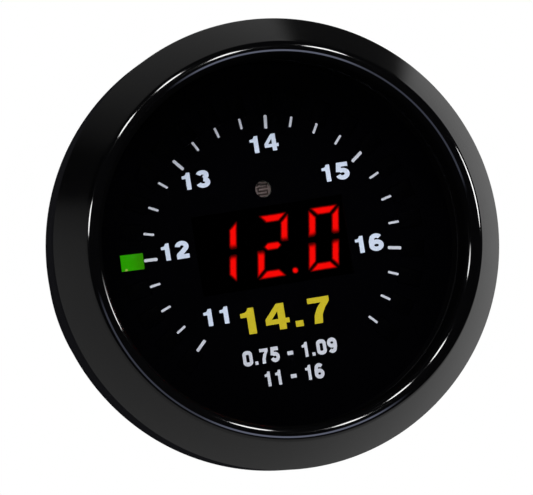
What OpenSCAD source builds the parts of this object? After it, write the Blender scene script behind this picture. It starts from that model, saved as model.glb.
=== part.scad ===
// Air fuel ratio gauge, 52 mm, with a screw-on bezel and a rear clamp bracket.
// Every piece is drawn with its front along +Z and its top along +Y, and facing()
// then turns it so that the dial faces -Y and its top is +Z.
// The origin is on the gauge's axis, in the plane where the flange meets the panel.
// Heights are counted from that plane: in front of the panel is positive.

/* [Body] */
// Radius of the land that sits in the panel hole
body_r = 26; // [25.5:0.1:28]
// Depth of the body behind the panel
body_depth = 33; // [31:0.5:45]
// Depth of the front land, which fits the panel hole
land_depth = 10; // [7:0.5:14]
// How much smaller the body is behind the land
land_step = 0.3; // [0.1:0.1:0.6]
// Wall of the body behind the land
body_wall = 1.5; // [1.2:0.1:2]
// Thickness of the rear wall
rear_wall = 2; // [1.6:0.1:3]
// Thickness of the flange that meets the panel
flange_t = 1.5; // [1:0.1:2]
// How far the flange stands out past the bezel's bore
flange_over = 1; // [0.7:0.1:1.3]
// How far the threaded collar stands out past the land
collar_over = 1; // [0.6:0.1:1.5]
// Wall of the threaded collar
collar_wall = 1.8; // [1.5:0.1:2.1]

/* [Bezel and lens] */
// Wall of the bezel around its threaded bore
bezel_wall = 2.7; // [2.2:0.1:3.5]
// How far the lip reaches in over the lens
lip_reach = 3.05; // [2.6:0.05:3.4]
// Height of the lip above the lens
lip_h = 4.7; // [4.2:0.1:5.5]
// Radius of the rounded crest
crest_round = 1.2; // [0.8:0.1:1.4]
// Height of the sloping face
slope_h = 6.2; // [5.4:0.1:6.8]
// Rounding of the bezel's outer corners
corner_round = 0.35; // [0.2:0.05:0.6]
// Radial clearance in the bezel's thread
thread_gap = 0.3; // [0.2:0.05:0.4]
// Thickness of the lens
lens_t = 2; // [1.5:0.1:2.5]
// Thickness of the gasket under the lens
gasket_t = 0.8; // [0.6:0.1:1.2]
// Depth of the well between the dial and the gasket
well_depth = 2.8; // [2:0.1:4]
// Width of the ring that holds the dial down
well_ring_w = 0.7; // [0.5:0.1:0.8]

/* [Dial] */
// Height of the dial's front in front of the panel
dial_h = 4.6; // [4:0.1:5.5]
// Thickness of the dial plate
dial_t = 0.8; // [0.6:0.1:1]
// Number of lamps round the dial
lamp_count = 24; // [16:1:28]
// Angle that the lamps span
lamp_sweep = 270; // [240:5:280]
// Distance from the dial's edge to the lamp windows
lamp_margin = 4.425; // [4.2:0.025:4.7]
// Radial length of a lamp window
lamp_len = 3.05; // [2.5:0.05:3.3]
// Width of a lamp window
lamp_w = 2.1; // [1.6:0.05:2.3]
// Which lamp is lit, counted from the first at the lower left
lit_lamp = 4; // [0:1:15]
// Space between the digits and the ends of the display window
window_space = 1.15; // [1:0.05:1.4]
// Space above and below the digits in the display window
window_head = 1.1; // [1:0.05:1.3]
// Thickness of the smoked display filter
filter_t = 0.8; // [0.5:0.1:1]
// Radius of the light sensor's window
sensor_window_r = 1.15; // [0.9:0.05:1.3]

/* [Display] */
// Height of a digit
digit_h = 8.5; // [8:0.1:9]
// Width of a digit
digit_w = 4.3; // [4:0.1:4.6]
// Distance from digit to digit
digit_pitch = 7.05; // [6.6:0.05:7.2]
// How far the digits stand to the right of the window's middle
digit_shift = 0.3; // [0:0.05:0.3]
// Width of a segment
segment_w = 1.1; // [0.8:0.05:1.2]
// Gap between segments
segment_gap = 0.12; // [0.08:0.01:0.2]
// Slant of the digits
digit_slant = 9; // [0:1:10]
// Depth of the segments in their case
segment_depth = 1.2; // [0.8:0.1:2]
// Thickness of the display case
case_depth = 6.2; // [5:0.1:7]

/* [Boards] */
// Thickness of both circuit boards
board_t = 1.6; // [1:0.2:2]
// Height of the bosses that carry the main board
boss_h = 8.4; // [8:0.1:10]
// Sideways place of the spacers
spacer_x = 10.4; // [10:0.1:10.8]
// Upright place of the spacers
spacer_y = 8.7; // [8.5:0.1:8.9]
// Radius of a spacer across its corners
spacer_r = 2.3; // [2:0.1:2.5]
// Radius of the spacer screws
screw_r = 1.2; // [1:0.05:1.3]

/* [Rear] */
// Depth of the sockets' cavities
socket_depth = 9; // [8:0.5:10]
// How far the sockets stand out of the rear wall
socket_out = 2; // [1:0.25:3]
// Sideways width of the sockets
socket_h = 7; // [6.6:0.1:7.2]
// Wall of the sockets
socket_wall = 0.9; // [0.7:0.05:1]
// Length of the power socket
power_w = 12; // [11:0.25:12.5]
// Length of the sensor socket
probe_w = 18; // [16:0.25:18.5]
// Size across the socket pins
pin_w = 0.64; // [0.5:0.02:0.8]
// How far the pin tips lie below the sockets' mouths
pin_recess = 4.4; // [4.3:0.1:5]
// Width of the mode switch
switch_w = 7.2; // [6.5:0.1:7.4]
// Radius of the mode switch's rotor
rotor_r = 2.5; // [2:0.1:2.7]

/* [Clamp] */
// Distance from the body's inner wall to the studs' axes
stud_inset = 7.2; // [6.8:0.1:7.6]
// Radius of the studs
stud_r = 1.95; // [1.75:0.05:2.1]
// Length of the studs behind the rear wall
stud_out = 18; // [16:0.5:24]
// Width of the clamp bracket
bracket_w = 8; // [7:0.5:10]
// Thickness of the clamp bracket
bracket_t = 1; // [0.8:0.1:1.4]
// Inner bend radius of the clamp bracket
bend_r = 2; // [1.5:0.25:3]
// Distance from the body's rear to the clamp bracket's base
clamp_gap = 3.5; // [2.5:0.25:9]
// Thickness of the panel that the bracket is set for
panel_t = 3; // [2.4:0.1:5]
// Height of the thumb nuts
nut_h = 5; // [4:0.25:6]
// Radius of the thumb nuts
nut_r = 4.6; // [4:0.1:5.2]
// Number of grooves round a thumb nut
nut_grooves = 24; // [16:1:30]
// Thickness of the washers
washer_t = 0.8; // [0.6:0.1:1.2]

/* [Hidden] */
$fn = 96;
// Overrun of every cut
over = 0.5;
// Play between pieces that are dropped into each other
play = 0.1;
// Gap between pieces that lie close without touching
gap = 0.3;
// Radial clearance of a turning or sliding fit
fit_gap = 0.06;

// Radii, from the panel hole outwards
rear_r = body_r - land_step;
bore_r = rear_r - body_wall;
collar_r = body_r + collar_over;
dial_seat_r = collar_r - collar_wall;
dial_r = dial_seat_r - 2 * play;
bezel_bore_r = collar_r + thread_gap;
bezel_r = bezel_bore_r + bezel_wall;
flange_r = bezel_bore_r + flange_over;
skirt_bore_r = flange_r + thread_gap;
lens_r = bezel_bore_r - gap;
lens_open_r = bezel_bore_r - lip_reach;
crest_r = lens_open_r + crest_round;

// Heights, from the panel forwards
dial_back = dial_h - dial_t;
collar_h = dial_h + well_depth;
lens_back = collar_h + gasket_t;
lens_front = lens_back + lens_t;
lip_back = lens_front + play;
bezel_h = lip_back + lip_h;
bezel_side_h = bezel_h - slope_h;
crest_h = bezel_h - crest_round;
skirt_depth = flange_t + gap;

// Bezel face, where the slope runs smoothly into the crest
slope_reach = norm([bezel_r - crest_r, bezel_side_h - crest_h]);
slope_turn = acos(crest_round / slope_reach) + atan2(bezel_side_h - crest_h, bezel_r - crest_r);

// Dial stack, from the dial backwards
window_w = 2 * digit_pitch + digit_w + 2 * window_space;
window_h = digit_h + 2 * window_head;
case_front = dial_back - filter_t - play;
case_foot = gap;
case_rim = 0.35;
case_h = window_h + 2 * case_rim;
case_w = window_w + 2 * case_rim;
board_front = case_front - case_depth - case_foot;
board_back = board_front - board_t;
rear_front = rear_wall - body_depth;
main_back = rear_front + boss_h;
main_front = main_back + board_t;
board_gap = board_back - main_front;
board_r = bore_r - gap;
filter_over = 0.5;
guide_t = 1.8;
top_angle = 90;
lamp_r = dial_r - lamp_margin - lamp_len / 2;
lamp_pitch = lamp_sweep / (lamp_count - 1);
lamp_start = top_angle + lamp_sweep / 2;
lamp_wall = 0.8;
lamp_inner_r = lamp_r - lamp_len / 2 - lamp_wall;
lamp_outer_r = lamp_r + lamp_len / 2 + lamp_wall;
guide_r = lamp_inner_r - play;
baffle_flange_t = 1.2;
guide_ledge_w = 0.7;
chip_lamp_l = 2;
chip_lamp_w = 1.25;
chip_lamp_t = 0.8;
backlight_r = 12.6;
backlight_turn = 26;
sensor_r = 1.5;
sensor_y = window_h / 2 + filter_over + gap + sensor_r;
sensor_t = 1.9;
sensor_lead_r = 0.25;
sensor_lead_x = 0.9;

// Display pins, under the case's long edges
pin_line_y = 4.2;
display_pin_r = 0.25;
display_pin_pitch = 2.54;
display_pin_count = 6;
display_pin_out = 1.2;

// Header between the boards
header_w = 15.4;
header_d = 5;
header_space = 2.1;
header_y = -spacer_y - spacer_r - header_space - header_d / 2;
header_base_h = 2.5;
header_clear = 4.8;
header_body_h = board_gap - header_base_h - header_clear;
header_pitch = 2.54;
header_columns = 6;

// Rear of the body
cover_seat_r = bore_r + body_wall / 3;
boss_r = 2.8;
socket_mouth = -body_depth - socket_out;
socket_floor = socket_mouth + socket_depth;
power_x = spacer_x + boss_r + gap + socket_h / 2;
probe_x = -power_x;
probe_count = 6;
power_count = 4;
socket_key_w = 2.4;
socket_key_d = 0.5;
switch_x = 9.5;
switch_y = spacer_y + boss_r + play + switch_w / 2;
rotor_recess = 0.4;
rotor_slot_w = 0.8;
rotor_slot_d = 0.9;
rear_chamfer = 0.4;

// Parts on the front of the main board
mcu_w = 10;
mcu_t = 1.4;
mcu_y = 1;
mcu_leads = 11;
mcu_pitch = 0.8;
interface_w = 7;
interface_t = 2;
interface_y = 14.5;
interface_leads = 5;
interface_pitch = 1.27;
power_chip_x = 17.2;
power_chip_y = 2;
can_r = 3.1;
can_clear = 7.8;
can_h = board_gap - can_clear;
can_x = spacer_x + spacer_r + gap + play + can_r;
can_y = -9.6;
choke_x = -16.2;
choke_y = 11.6;
crystal_x = 14.6;
crystal_y = 13;
chip_out = 9.4;

// Studs and clamp
stud_y = bore_r - stud_inset;
insert_r = 3.1;
insert_len = 5;
stud_boss_wall = 1.5;
stud_chamfer = 0.5;
leg_gap = 0.9;
leg_y = body_r + leg_gap;
foot_h = -panel_t;
base_front = -body_depth - clamp_gap;
leg_len = foot_h - base_front;
base_back = base_front - bracket_t;
washer_back = base_back - washer_t;
nut_back = washer_back - nut_h;
stud_play = 0.25;
stud_hole_r = stud_r + stud_play;
nut_bore_r = stud_r + fit_gap;
groove_r = 0.35;
nut_neck = 1;

// Turns a piece from its drawing position to the gauge's
module facing() {
    rotate([90, 0, 0])
        children();
}

// A ring from a low to a high height
module ring(outer, inner, low, high) {
    translate([0, 0, low])
        difference() {
            cylinder(r = outer, h = high - low);
            translate([0, 0, -over])
                cylinder(r = inner, h = high - low + 2 * over);
        }
}

// A disc from a low to a high height
module disc(r, low, high) {
    translate([0, 0, low])
        cylinder(r = r, h = high - low);
}

// A block centred on a point, from a low to a high height
module block(x, y, w, h, low, high) {
    translate([x - w / 2, y - h / 2, low])
        cube([w, h, high - low]);
}

// A flat rectangle with round corners
module round_rect(w, h, r) {
    union() {
        square([w - 2 * r, h], center = true);
        square([w, h - 2 * r], center = true);
        for (sx = [-1, 1])
            for (sy = [-1, 1])
                translate([sx * (w / 2 - r), sy * (h / 2 - r)])
                    circle(r = r, $fn = 32);
    }
}

// A block with round corners, from a low to a high height
module round_block(x, y, w, h, r, low, high) {
    translate([x, y, low])
        linear_extrude(high - low)
            round_rect(w, h, r);
}

// Places its children at each of the four spacers
module at_spacers() {
    for (sx = [-1, 1])
        for (sy = [-1, 1])
            translate([sx * spacer_x, sy * spacer_y, 0])
                children();
}

// Places its children at the two studs
module at_studs() {
    for (sy = [-1, 1])
        translate([0, sy * stud_y, 0])
            children();
}

// Places its children at lamp k, with +X pointing out from the dial's centre
module at_lamp(k) {
    rotate([0, 0, lamp_start - k * lamp_pitch])
        translate([lamp_r, 0, 0])
            children();
}

// Bezel: threaded skirt, straight side, sloping face and rounded crest
module bezel_profile() {
    difference() {
        union() {
            polygon(concat(
                [[lens_open_r, play], [bezel_r - corner_round, play]],
                [[bezel_r, play + corner_round], [bezel_r, bezel_side_h]],
                [[crest_r + crest_round * cos(slope_turn), crest_h + crest_round * sin(slope_turn)]],
                [[crest_r, crest_h], [lens_open_r, crest_h]]
            ));
            translate([crest_r, crest_h])
                circle(r = crest_round);
        }
        translate([0, -over])
            square([bezel_bore_r, lip_back + over]);
        translate([0, -over])
            square([skirt_bore_r, skirt_depth + over]);
    }
}

module bezel_ring() {
    color([0.05, 0.05, 0.055])
        facing()
            rotate_extrude()
                bezel_profile();
}

module front_lens() {
    edge = lens_t / 8;
    color([0.85, 0.9, 0.95, 0.3])
        facing()
            rotate_extrude()
                polygon([[0, lens_back], [lens_r - edge, lens_back], [lens_r, lens_back + edge],
                         [lens_r, lens_front - edge], [lens_r - edge, lens_front], [0, lens_front]]);
}

module lens_gasket() {
    color([0.06, 0.06, 0.06])
        facing()
            ring(collar_r - play, dial_seat_r + play, collar_h, lens_back);
}

module dial_retaining_ring() {
    color([0.03, 0.03, 0.035])
        facing()
            ring(dial_seat_r - play, dial_seat_r - play - well_ring_w, dial_h, lens_back - play);
}

// Dial plate: its lamp windows, display window and sensor window are cut right through
module dial_plate() {
    color([0.03, 0.03, 0.04])
        facing()
            difference() {
                disc(dial_r, dial_back, dial_h);
                for (k = [0:lamp_count - 1])
                    at_lamp(k)
                        block(0, 0, lamp_len + play, lamp_w + play, dial_back - over, dial_h + over);
                block(0, 0, window_w, window_h, dial_back - over, dial_h + over);
                translate([0, sensor_y, 0])
                    disc(sensor_window_r, dial_back - over, dial_h + over);
            }
}

module display_filter() {
    color([0.08, 0.02, 0.03, 0.8])
        facing()
            block(0, 0, window_w + 2 * filter_over, window_h + 2 * filter_over,
                  dial_back - filter_t, dial_back);
}

// Light guide: spreads the backlight behind the numbers
module light_guide_plate() {
    color([0.8, 0.85, 0.9, 0.5])
        facing()
            difference() {
                disc(guide_r, dial_back - guide_t - play, dial_back - play);
                block(0, 0, case_w + 2 * gap, case_h + 2 * gap,
                      dial_back - guide_t - over, dial_back + over);
                translate([0, sensor_y, 0])
                    disc(sensor_r + gap, dial_back - guide_t - over, dial_back + over);
            }
}

// Lamp baffle: one walled cell for each lamp, so that light doesn't leak to the next
module lamp_baffle() {
    color([0.85, 0.85, 0.83])
        facing()
            difference() {
                union() {
                    ring(lamp_outer_r, lamp_inner_r, board_front, dial_back);
                    ring(board_r, lamp_inner_r, board_front, board_front + baffle_flange_t);
                    ring(lamp_inner_r + play, lamp_inner_r - guide_ledge_w,
                         dial_back - 2 * guide_t, dial_back - guide_t - play);
                }
                for (k = [0:lamp_count - 1])
                    at_lamp(k)
                        block(0, 0, lamp_len + 2 * play, lamp_w + 2 * play,
                              board_front - over, dial_back + over);
            }
}

// One light pipe, from its lamp to the front of the dial, with a stepped foot
module light_pipe(k) {
    foot = board_front + chip_lamp_t + play;
    at_lamp(k)
        union() {
            block(0, 0, lamp_len, lamp_w, foot + lamp_wall, dial_h - play / 2);
            block(0, 0, lamp_len - lamp_wall, lamp_w - lamp_wall / 2, foot, foot + lamp_wall);
        }
}

module lamp_light_pipes() {
    color([0.12, 0.13, 0.12])
        facing()
            for (k = [0:lamp_count - 1])
                if (k != lit_lamp)
                    light_pipe(k);
}

module lit_light_pipe() {
    color([0.12, 0.6, 0.02])
        facing()
            light_pipe(lit_lamp);
}

// A chip lamp: its carrier and the smaller lens block on it
module chip_lamp() {
    carrier_t = chip_lamp_t / 3;
    union() {
        block(0, 0, chip_lamp_l, chip_lamp_w, board_front, board_front + carrier_t);
        block(0, 0, chip_lamp_l - chip_lamp_t, chip_lamp_w, board_front, board_front + chip_lamp_t);
    }
}

module ring_leds() {
    color([0.9, 0.9, 0.85])
        facing()
            for (k = [0:lamp_count - 1])
                at_lamp(k)
                    chip_lamp();
}

module backlight_leds() {
    color([0.95, 0.9, 0.6])
        facing()
            for (side = [90, 270])
                for (k = [-1:1])
                    rotate([0, 0, side + k * backlight_turn])
                        translate([backlight_r, 0, 0])
                            chip_lamp();
}

// Moves a point of a digit sideways by the slant
function slanted(p) = [p[0] + p[1] * tan(digit_slant), p[1]];

// Half sizes of a digit outside and inside its outer segments, and how segments end
half_w = digit_w / 2;
half_h = digit_h / 2;
inner_x = half_w - segment_w;
inner_y = half_h - segment_w;
tip_cut = segment_w / 8;
end_cut = segment_w / 4;
mid_gap = segment_w / 3;

// Outline of the level segment at the top: long outside, mitred at both ends
level_tip = half_w - segment_gap - tip_cut;
level_points = [[-level_tip, half_h], [level_tip, half_h], [level_tip, half_h - tip_cut],
                [inner_x - segment_gap, inner_y], [segment_gap - inner_x, inner_y],
                [-level_tip, half_h - tip_cut]];

// Outline of the upright segment at the upper right: mitred above, blunt below
upright_tip = half_h - segment_gap - tip_cut;
upright_points = [[half_w, mid_gap], [half_w, upright_tip], [half_w - tip_cut, upright_tip],
                  [inner_x, inner_y - segment_gap], [inner_x, mid_gap + end_cut],
                  [inner_x + end_cut, mid_gap]];

// Outline of the middle segment, pointed at both ends
middle_tip = inner_x + mid_gap - segment_gap;
middle_points = [[-middle_tip, 0], [segment_w / 2 - middle_tip, segment_w / 2],
                 [middle_tip - segment_w / 2, segment_w / 2], [middle_tip, 0],
                 [middle_tip - segment_w / 2, -segment_w / 2],
                 [segment_w / 2 - middle_tip, -segment_w / 2]];

// Turns an outline over, sideways or upside down
function turned_over(points, sx, sy) = [for (p = points) [sx * p[0], sy * p[1]]];

// Outline of segment s of a digit: a top, b and c right, d bottom, e and f left, g middle
function segment_points(s) =
    s == "a" ? level_points :
    s == "b" ? upright_points :
    s == "c" ? turned_over(upright_points, 1, -1) :
    s == "d" ? turned_over(level_points, 1, -1) :
    s == "e" ? turned_over(upright_points, -1, -1) :
    s == "f" ? turned_over(upright_points, -1, 1) :
    middle_points;

// Segments lit in each digit, which read 12.0
lit = ["bc", "abged", "abcdef"];
all_segments = "abcdefg";

// Place of a digit's decimal point
point_r = segment_w / 2 - segment_gap / 2;
point_x = half_w + 2 * point_r;
point_y = segment_w / 2 - half_h;

// Draws the outlines of the segments in a string, for digit k of three
module digit(k, names) {
    translate([(k - 1) * digit_pitch + digit_shift, 0])
        for (s = names)
            polygon([for (p = segment_points(s)) slanted(p)]);
}

// Draws the decimal point of digit k
module decimal_point(k) {
    at = slanted([point_x, point_y]);
    translate([(k - 1) * digit_pitch + digit_shift + at[0], at[1]])
        circle(r = point_r, $fn = 32);
}

// Outlines of the lit segments and the lit decimal point
module lit_outline() {
    for (k = [0:2])
        digit(k, lit[k]);
    decimal_point(1);
}

// Outlines of the segments and points that are not lit
module dark_outline() {
    for (k = [0:2])
        digit(k, [for (s = all_segments) if (len(search(s, lit[k])) == 0) s]);
    decimal_point(0);
    decimal_point(2);
}

// Display case: a pocket for each segment, and a hollow back for the lamps
module display_case() {
    rim = (case_h - digit_h) / 4;
    color([0.04, 0.04, 0.04])
        facing()
            difference() {
                block(0, 0, case_w, case_h, case_front - case_depth, case_front);
                translate([0, 0, case_front - segment_depth])
                    linear_extrude(segment_depth + over) {
                        lit_outline();
                        dark_outline();
                    }
                block(0, 0, case_w - 2 * rim, pin_line_y + digit_h / 4,
                      case_front - case_depth - over, case_front - 2 * segment_depth);
            }
}

module lit_segments() {
    color([1, 0.03, 0.02])
        facing()
            translate([0, 0, case_front - segment_depth])
                linear_extrude(segment_depth)
                    lit_outline();
}

module dark_segments() {
    color([0.07, 0.02, 0.02])
        facing()
            translate([0, 0, case_front - segment_depth])
                linear_extrude(segment_depth)
                    dark_outline();
}

// Places its children at each pin of the display
module at_display_pins() {
    for (sy = [-1, 1])
        for (i = [0:display_pin_count - 1])
            translate([(i - (display_pin_count - 1) / 2) * display_pin_pitch, sy * pin_line_y, 0])
                children();
}

module display_pins() {
    color([0.8, 0.78, 0.7])
        facing()
            at_display_pins()
                disc(display_pin_r, board_back - display_pin_out, case_front - case_depth);
}

// Light sensor: a small photocell on two leads behind its own hole in the dial
module light_sensor() {
    color([0.35, 0.25, 0.18])
        facing()
            translate([0, sensor_y, 0])
                union() {
                    disc(sensor_r, dial_back - play - sensor_t, dial_back - play);
                    for (sx = [-1, 1])
                        translate([sx * sensor_lead_x, 0, 0])
                            disc(sensor_lead_r, board_front, dial_back - play - sensor_t + over);
                }
}

module display_board() {
    color([0.05, 0.22, 0.12])
        facing()
            difference() {
                disc(board_r, board_back, board_front);
                at_spacers()
                    disc(screw_r + play, board_back - over, board_front + over);
                at_display_pins()
                    disc(display_pin_r + fit_gap, board_back - over, board_front + over);
            }
}

// Pan head screws that hold the display board to its spacers
module display_screws() {
    head_h = screw_r * 1.2;
    color([0.7, 0.7, 0.72])
        facing()
            at_spacers()
                difference() {
                    union() {
                        disc(screw_r * 1.8, board_front, board_front + head_h);
                        disc(screw_r, board_back - 4 * screw_r, board_front + head_h / 2);
                    }
                    for (turn = [0, 90])
                        rotate([0, 0, turn])
                            block(0, 0, screw_r * 2, screw_r / 3,
                                  board_front + head_h / 2, board_front + head_h + over);
                }
}

// Hexagonal spacers, with a bore for the screw above and a stud for the boss below
module board_spacers() {
    color([0.75, 0.6, 0.3])
        facing()
            at_spacers()
                difference() {
                    union() {
                        translate([0, 0, main_front])
                            cylinder(r = spacer_r, h = board_gap, $fn = 6);
                        disc(screw_r, main_back - 4 * screw_r, main_front + screw_r);
                    }
                    disc(screw_r + fit_gap, board_back - 5 * screw_r, board_back + over);
                }
}

// Places its children at each pin of the header
module at_header_pins() {
    for (sy = [-1, 1])
        for (i = [0:header_columns - 1])
            translate([(i - (header_columns - 1) / 2) * header_pitch,
                       header_y + sy * header_pitch / 2, 0])
                children();
}

module header_socket() {
    color([0.04, 0.04, 0.04])
        facing()
            difference() {
                block(0, header_y, header_w, header_d, board_back - header_body_h, board_back);
                at_header_pins()
                    block(0, 0, pin_w + 2 * play, pin_w + 2 * play,
                          board_back - header_body_h - over, board_back - header_body_h / 3);
            }
}

module header_pins() {
    color([0.8, 0.7, 0.35])
        facing()
            union() {
                block(0, header_y, header_w, header_d, main_front, main_front + header_base_h);
                at_header_pins()
                    block(0, 0, pin_w, pin_w, main_front, board_back - header_body_h / 2);
            }
}

module main_board() {
    color([0.05, 0.22, 0.12])
        facing()
            difference() {
                disc(board_r, main_back, main_front);
                at_spacers()
                    disc(screw_r + play, main_back - over, main_front + over);
            }
}

// A chip with gull-wing leads on two or four sides
module leaded_chip(x, y, size, tall, leads, pitch, sides) {
    lead_w = pitch / 2;
    lead_t = pitch / 4;
    lead_out = pitch * 1.5;
    union() {
        block(x, y, size, size, main_front + lead_t, main_front + tall);
        for (side = sides)
            for (i = [0:leads - 1])
                translate([x, y, 0])
                    rotate([0, 0, side])
                        translate([0, (i - (leads - 1) / 2) * pitch, 0]) {
                            block(size / 2 + lead_out / 2, 0, lead_out, lead_w,
                                  main_front, main_front + lead_t);
                            block(size / 2 + lead_t, 0, 3 * lead_t, lead_w,
                                  main_front, main_front + tall / 2);
                        }
    }
}

module microcontroller() {
    color([0.06, 0.06, 0.06])
        facing()
            leaded_chip(0, mcu_y, mcu_w, mcu_t, mcu_leads, mcu_pitch, [0, 90, 180, 270]);
}

module interface_chip() {
    color([0.06, 0.06, 0.06])
        facing()
            leaded_chip(0, interface_y, interface_w, interface_t, interface_leads, interface_pitch, [0, 180]);
}

// A power package: a moulded body on a metal tab, with two leads
module power_package(x, y, turn) {
    body_w = 6.4;
    body_l = 6;
    body_t = 2.3;
    tab_t = 0.5;
    tab_out = 1.6;
    power_lead_w = 0.8;
    power_lead_l = 2.6;
    power_lead_x = 2.3;
    translate([x, y, 0])
        rotate([0, 0, turn])
            union() {
                block(0, 0, body_w, body_l, main_front + tab_t, main_front + body_t);
                block(0, tab_out / 2, body_w - tab_t, body_l + tab_out,
                      main_front, main_front + tab_t + play);
                for (sx = [-1, 1])
                    block(sx * power_lead_x, -body_l / 2 - power_lead_l / 2, power_lead_w,
                          power_lead_l + tab_t, main_front, main_front + tab_t);
            }
}

module heater_transistor() {
    color([0.1, 0.1, 0.1])
        facing()
            power_package(power_chip_x, power_chip_y, 270);
}

module voltage_regulator() {
    color([0.1, 0.1, 0.1])
        facing()
            power_package(-power_chip_x, power_chip_y, 90);
}

// Electrolytic capacitors: a square foot under a can with a grooved waist
module filter_capacitors() {
    foot_t = 0.9;
    waist = 0.3;
    waist_h = (can_h - foot_t) / 8;
    color([0.75, 0.75, 0.78])
        facing()
            for (sx = [-1, 1])
                translate([sx * can_x, can_y, main_front])
                    union() {
                        translate([-can_r, -can_r, 0])
                            cube([2 * can_r, 2 * can_r, foot_t]);
                        rotate_extrude()
                            polygon([[0, 0], [can_r, 0], [can_r, foot_t + waist_h],
                                     [can_r - waist, foot_t + 2 * waist_h], [can_r, foot_t + 3 * waist_h],
                                     [can_r, can_h - waist], [can_r - waist, can_h], [0, can_h]]);
                    }
}

// Shielded inductor with round corners and a raised core
module power_inductor() {
    choke_w = 6.6;
    choke_t = 3.6;
    core_r = 2.2;
    color([0.25, 0.25, 0.27])
        facing()
            translate([choke_x, choke_y, 0])
                rotate([0, 0, 45])
                    union() {
                        round_block(0, 0, choke_w, choke_w, choke_w / 5, main_front, main_front + choke_t);
                        disc(core_r, main_front, main_front + choke_t + play);
                    }
}

// Clock crystal in an oval can
module clock_crystal() {
    can_w = 8.6;
    can_d = 3.6;
    rim = 0.4;
    color([0.75, 0.75, 0.75])
        facing()
            translate([crystal_x, crystal_y, 0])
                rotate([0, 0, -45])
                    union() {
                        round_block(0, 0, can_w + rim, can_d + rim, can_d / 2,
                                    main_front, main_front + rim);
                        round_block(0, 0, can_w, can_d, (can_d - rim) / 2,
                                    main_front, main_front + can_d - rim);
                    }
}

// Small chip parts in two short rows beside the microcontroller
module chip_resistors() {
    chip_l = 1.6;
    chip_w = 0.8;
    chip_t = 0.5;
    color([0.12, 0.12, 0.12])
        facing()
            for (sx = [-1, 1])
                for (i = [0:4])
                    block(sx * chip_out, mcu_y + (i - 2) * 2 * chip_w, chip_l, chip_w,
                          main_front, main_front + chip_t);
}

// Housing body: collar for the bezel, dial seat, flange, land, and a seat for the rear cover
module housing_body() {
    color([0.07, 0.07, 0.075])
        facing()
            rotate_extrude()
                polygon([[cover_seat_r, -body_depth], [rear_r - rear_chamfer, -body_depth],
                         [rear_r, rear_chamfer - body_depth], [rear_r, -land_depth],
                         [body_r, land_step - land_depth], [body_r, 0], [flange_r, 0], [flange_r, flange_t],
                         [collar_r, flange_t], [collar_r, collar_h], [dial_seat_r, collar_h],
                         [dial_seat_r, dial_back], [bore_r, dial_back], [bore_r, rear_front],
                         [cover_seat_r, rear_front]]);
}

// Rear cover: a disc with bosses for the boards and studs, and windows for the sockets and the switch
module rear_cover() {
    color([0.07, 0.07, 0.075])
        facing()
            difference() {
                union() {
                    disc(cover_seat_r - play, -body_depth, rear_front);
                    at_spacers()
                        disc(boss_r, rear_front - play, main_back);
                    at_studs()
                        disc(insert_r + stud_boss_wall, rear_front - play,
                             insert_len + play - body_depth + stud_boss_wall);
                }
                at_spacers()
                    disc(screw_r + fit_gap, main_back - 5 * screw_r, main_back + over);
                at_studs()
                    disc(insert_r + fit_gap, -body_depth - over, insert_len - body_depth);
                block(power_x, 0, socket_h + 2 * gap, power_w + 2 * gap,
                      -body_depth - over, rear_front + over);
                block(probe_x, 0, socket_h + 2 * gap, probe_w + 2 * gap,
                      -body_depth - over, rear_front + over);
                translate([switch_x, switch_y, 0])
                    disc(rotor_r + gap, -body_depth - over, rear_front + over);
            }
}

// An upright socket with a deep cavity and a keyway in its inner wall
module socket_shell(x, len) {
    side = sign(x);
    difference() {
        round_block(x, 0, socket_h, len, socket_wall / 2, socket_mouth, main_back);
        block(x, 0, socket_h - 2 * socket_wall, len - 2 * socket_wall, socket_mouth - over, socket_floor);
        block(x - side * (socket_h / 2 - socket_wall), 0, 2 * socket_key_d, socket_key_w,
              socket_mouth - over, socket_floor);
    }
}

// A column of pins from a socket's floor to short of its mouth
module pin_column(x, len, count) {
    pitch = (len - 2 * socket_wall) / count;
    for (i = [0:count - 1])
        block(x, (i - (count - 1) / 2) * pitch, pin_w, pin_w, socket_mouth + pin_recess, socket_floor);
}

module power_socket() {
    color([0.85, 0.85, 0.8])
        facing()
            socket_shell(power_x, power_w);
}

module power_pins() {
    color([0.8, 0.78, 0.7])
        facing()
            pin_column(power_x, power_w, power_count);
}

module sensor_socket() {
    color([0.06, 0.06, 0.06])
        facing()
            socket_shell(probe_x, probe_w);
}

module sensor_pins() {
    color([0.8, 0.78, 0.7])
        facing()
            pin_column(probe_x, probe_w, probe_count);
}

// Mode switch: a square body with a round well for its rotor
module mode_switch() {
    color([0.05, 0.1, 0.35])
        facing()
            translate([switch_x, switch_y, 0])
                difference() {
                    block(0, 0, switch_w, switch_w, rear_front + gap, main_back);
                    disc(rotor_r + fit_gap, rear_front - over, main_back - rotor_r);
                }
}

// Rotor of the mode switch, with a screwdriver slot that has one pointed end
module mode_switch_rotor() {
    slot_l = rotor_r * 0.7;
    color([0.9, 0.85, 0.7])
        facing()
            translate([switch_x, switch_y, 0])
                difference() {
                    disc(rotor_r, rotor_recess - body_depth, main_back - rotor_r - fit_gap);
                    translate([0, 0, rotor_recess - body_depth - over])
                        linear_extrude(rotor_slot_d + over)
                            union() {
                                square([rotor_slot_w, 2 * slot_l], center = true);
                                polygon([[-rotor_slot_w, slot_l / 2], [0, slot_l + rotor_slot_w / 2],
                                         [rotor_slot_w, slot_l / 2]]);
                            }
                }
}

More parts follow.
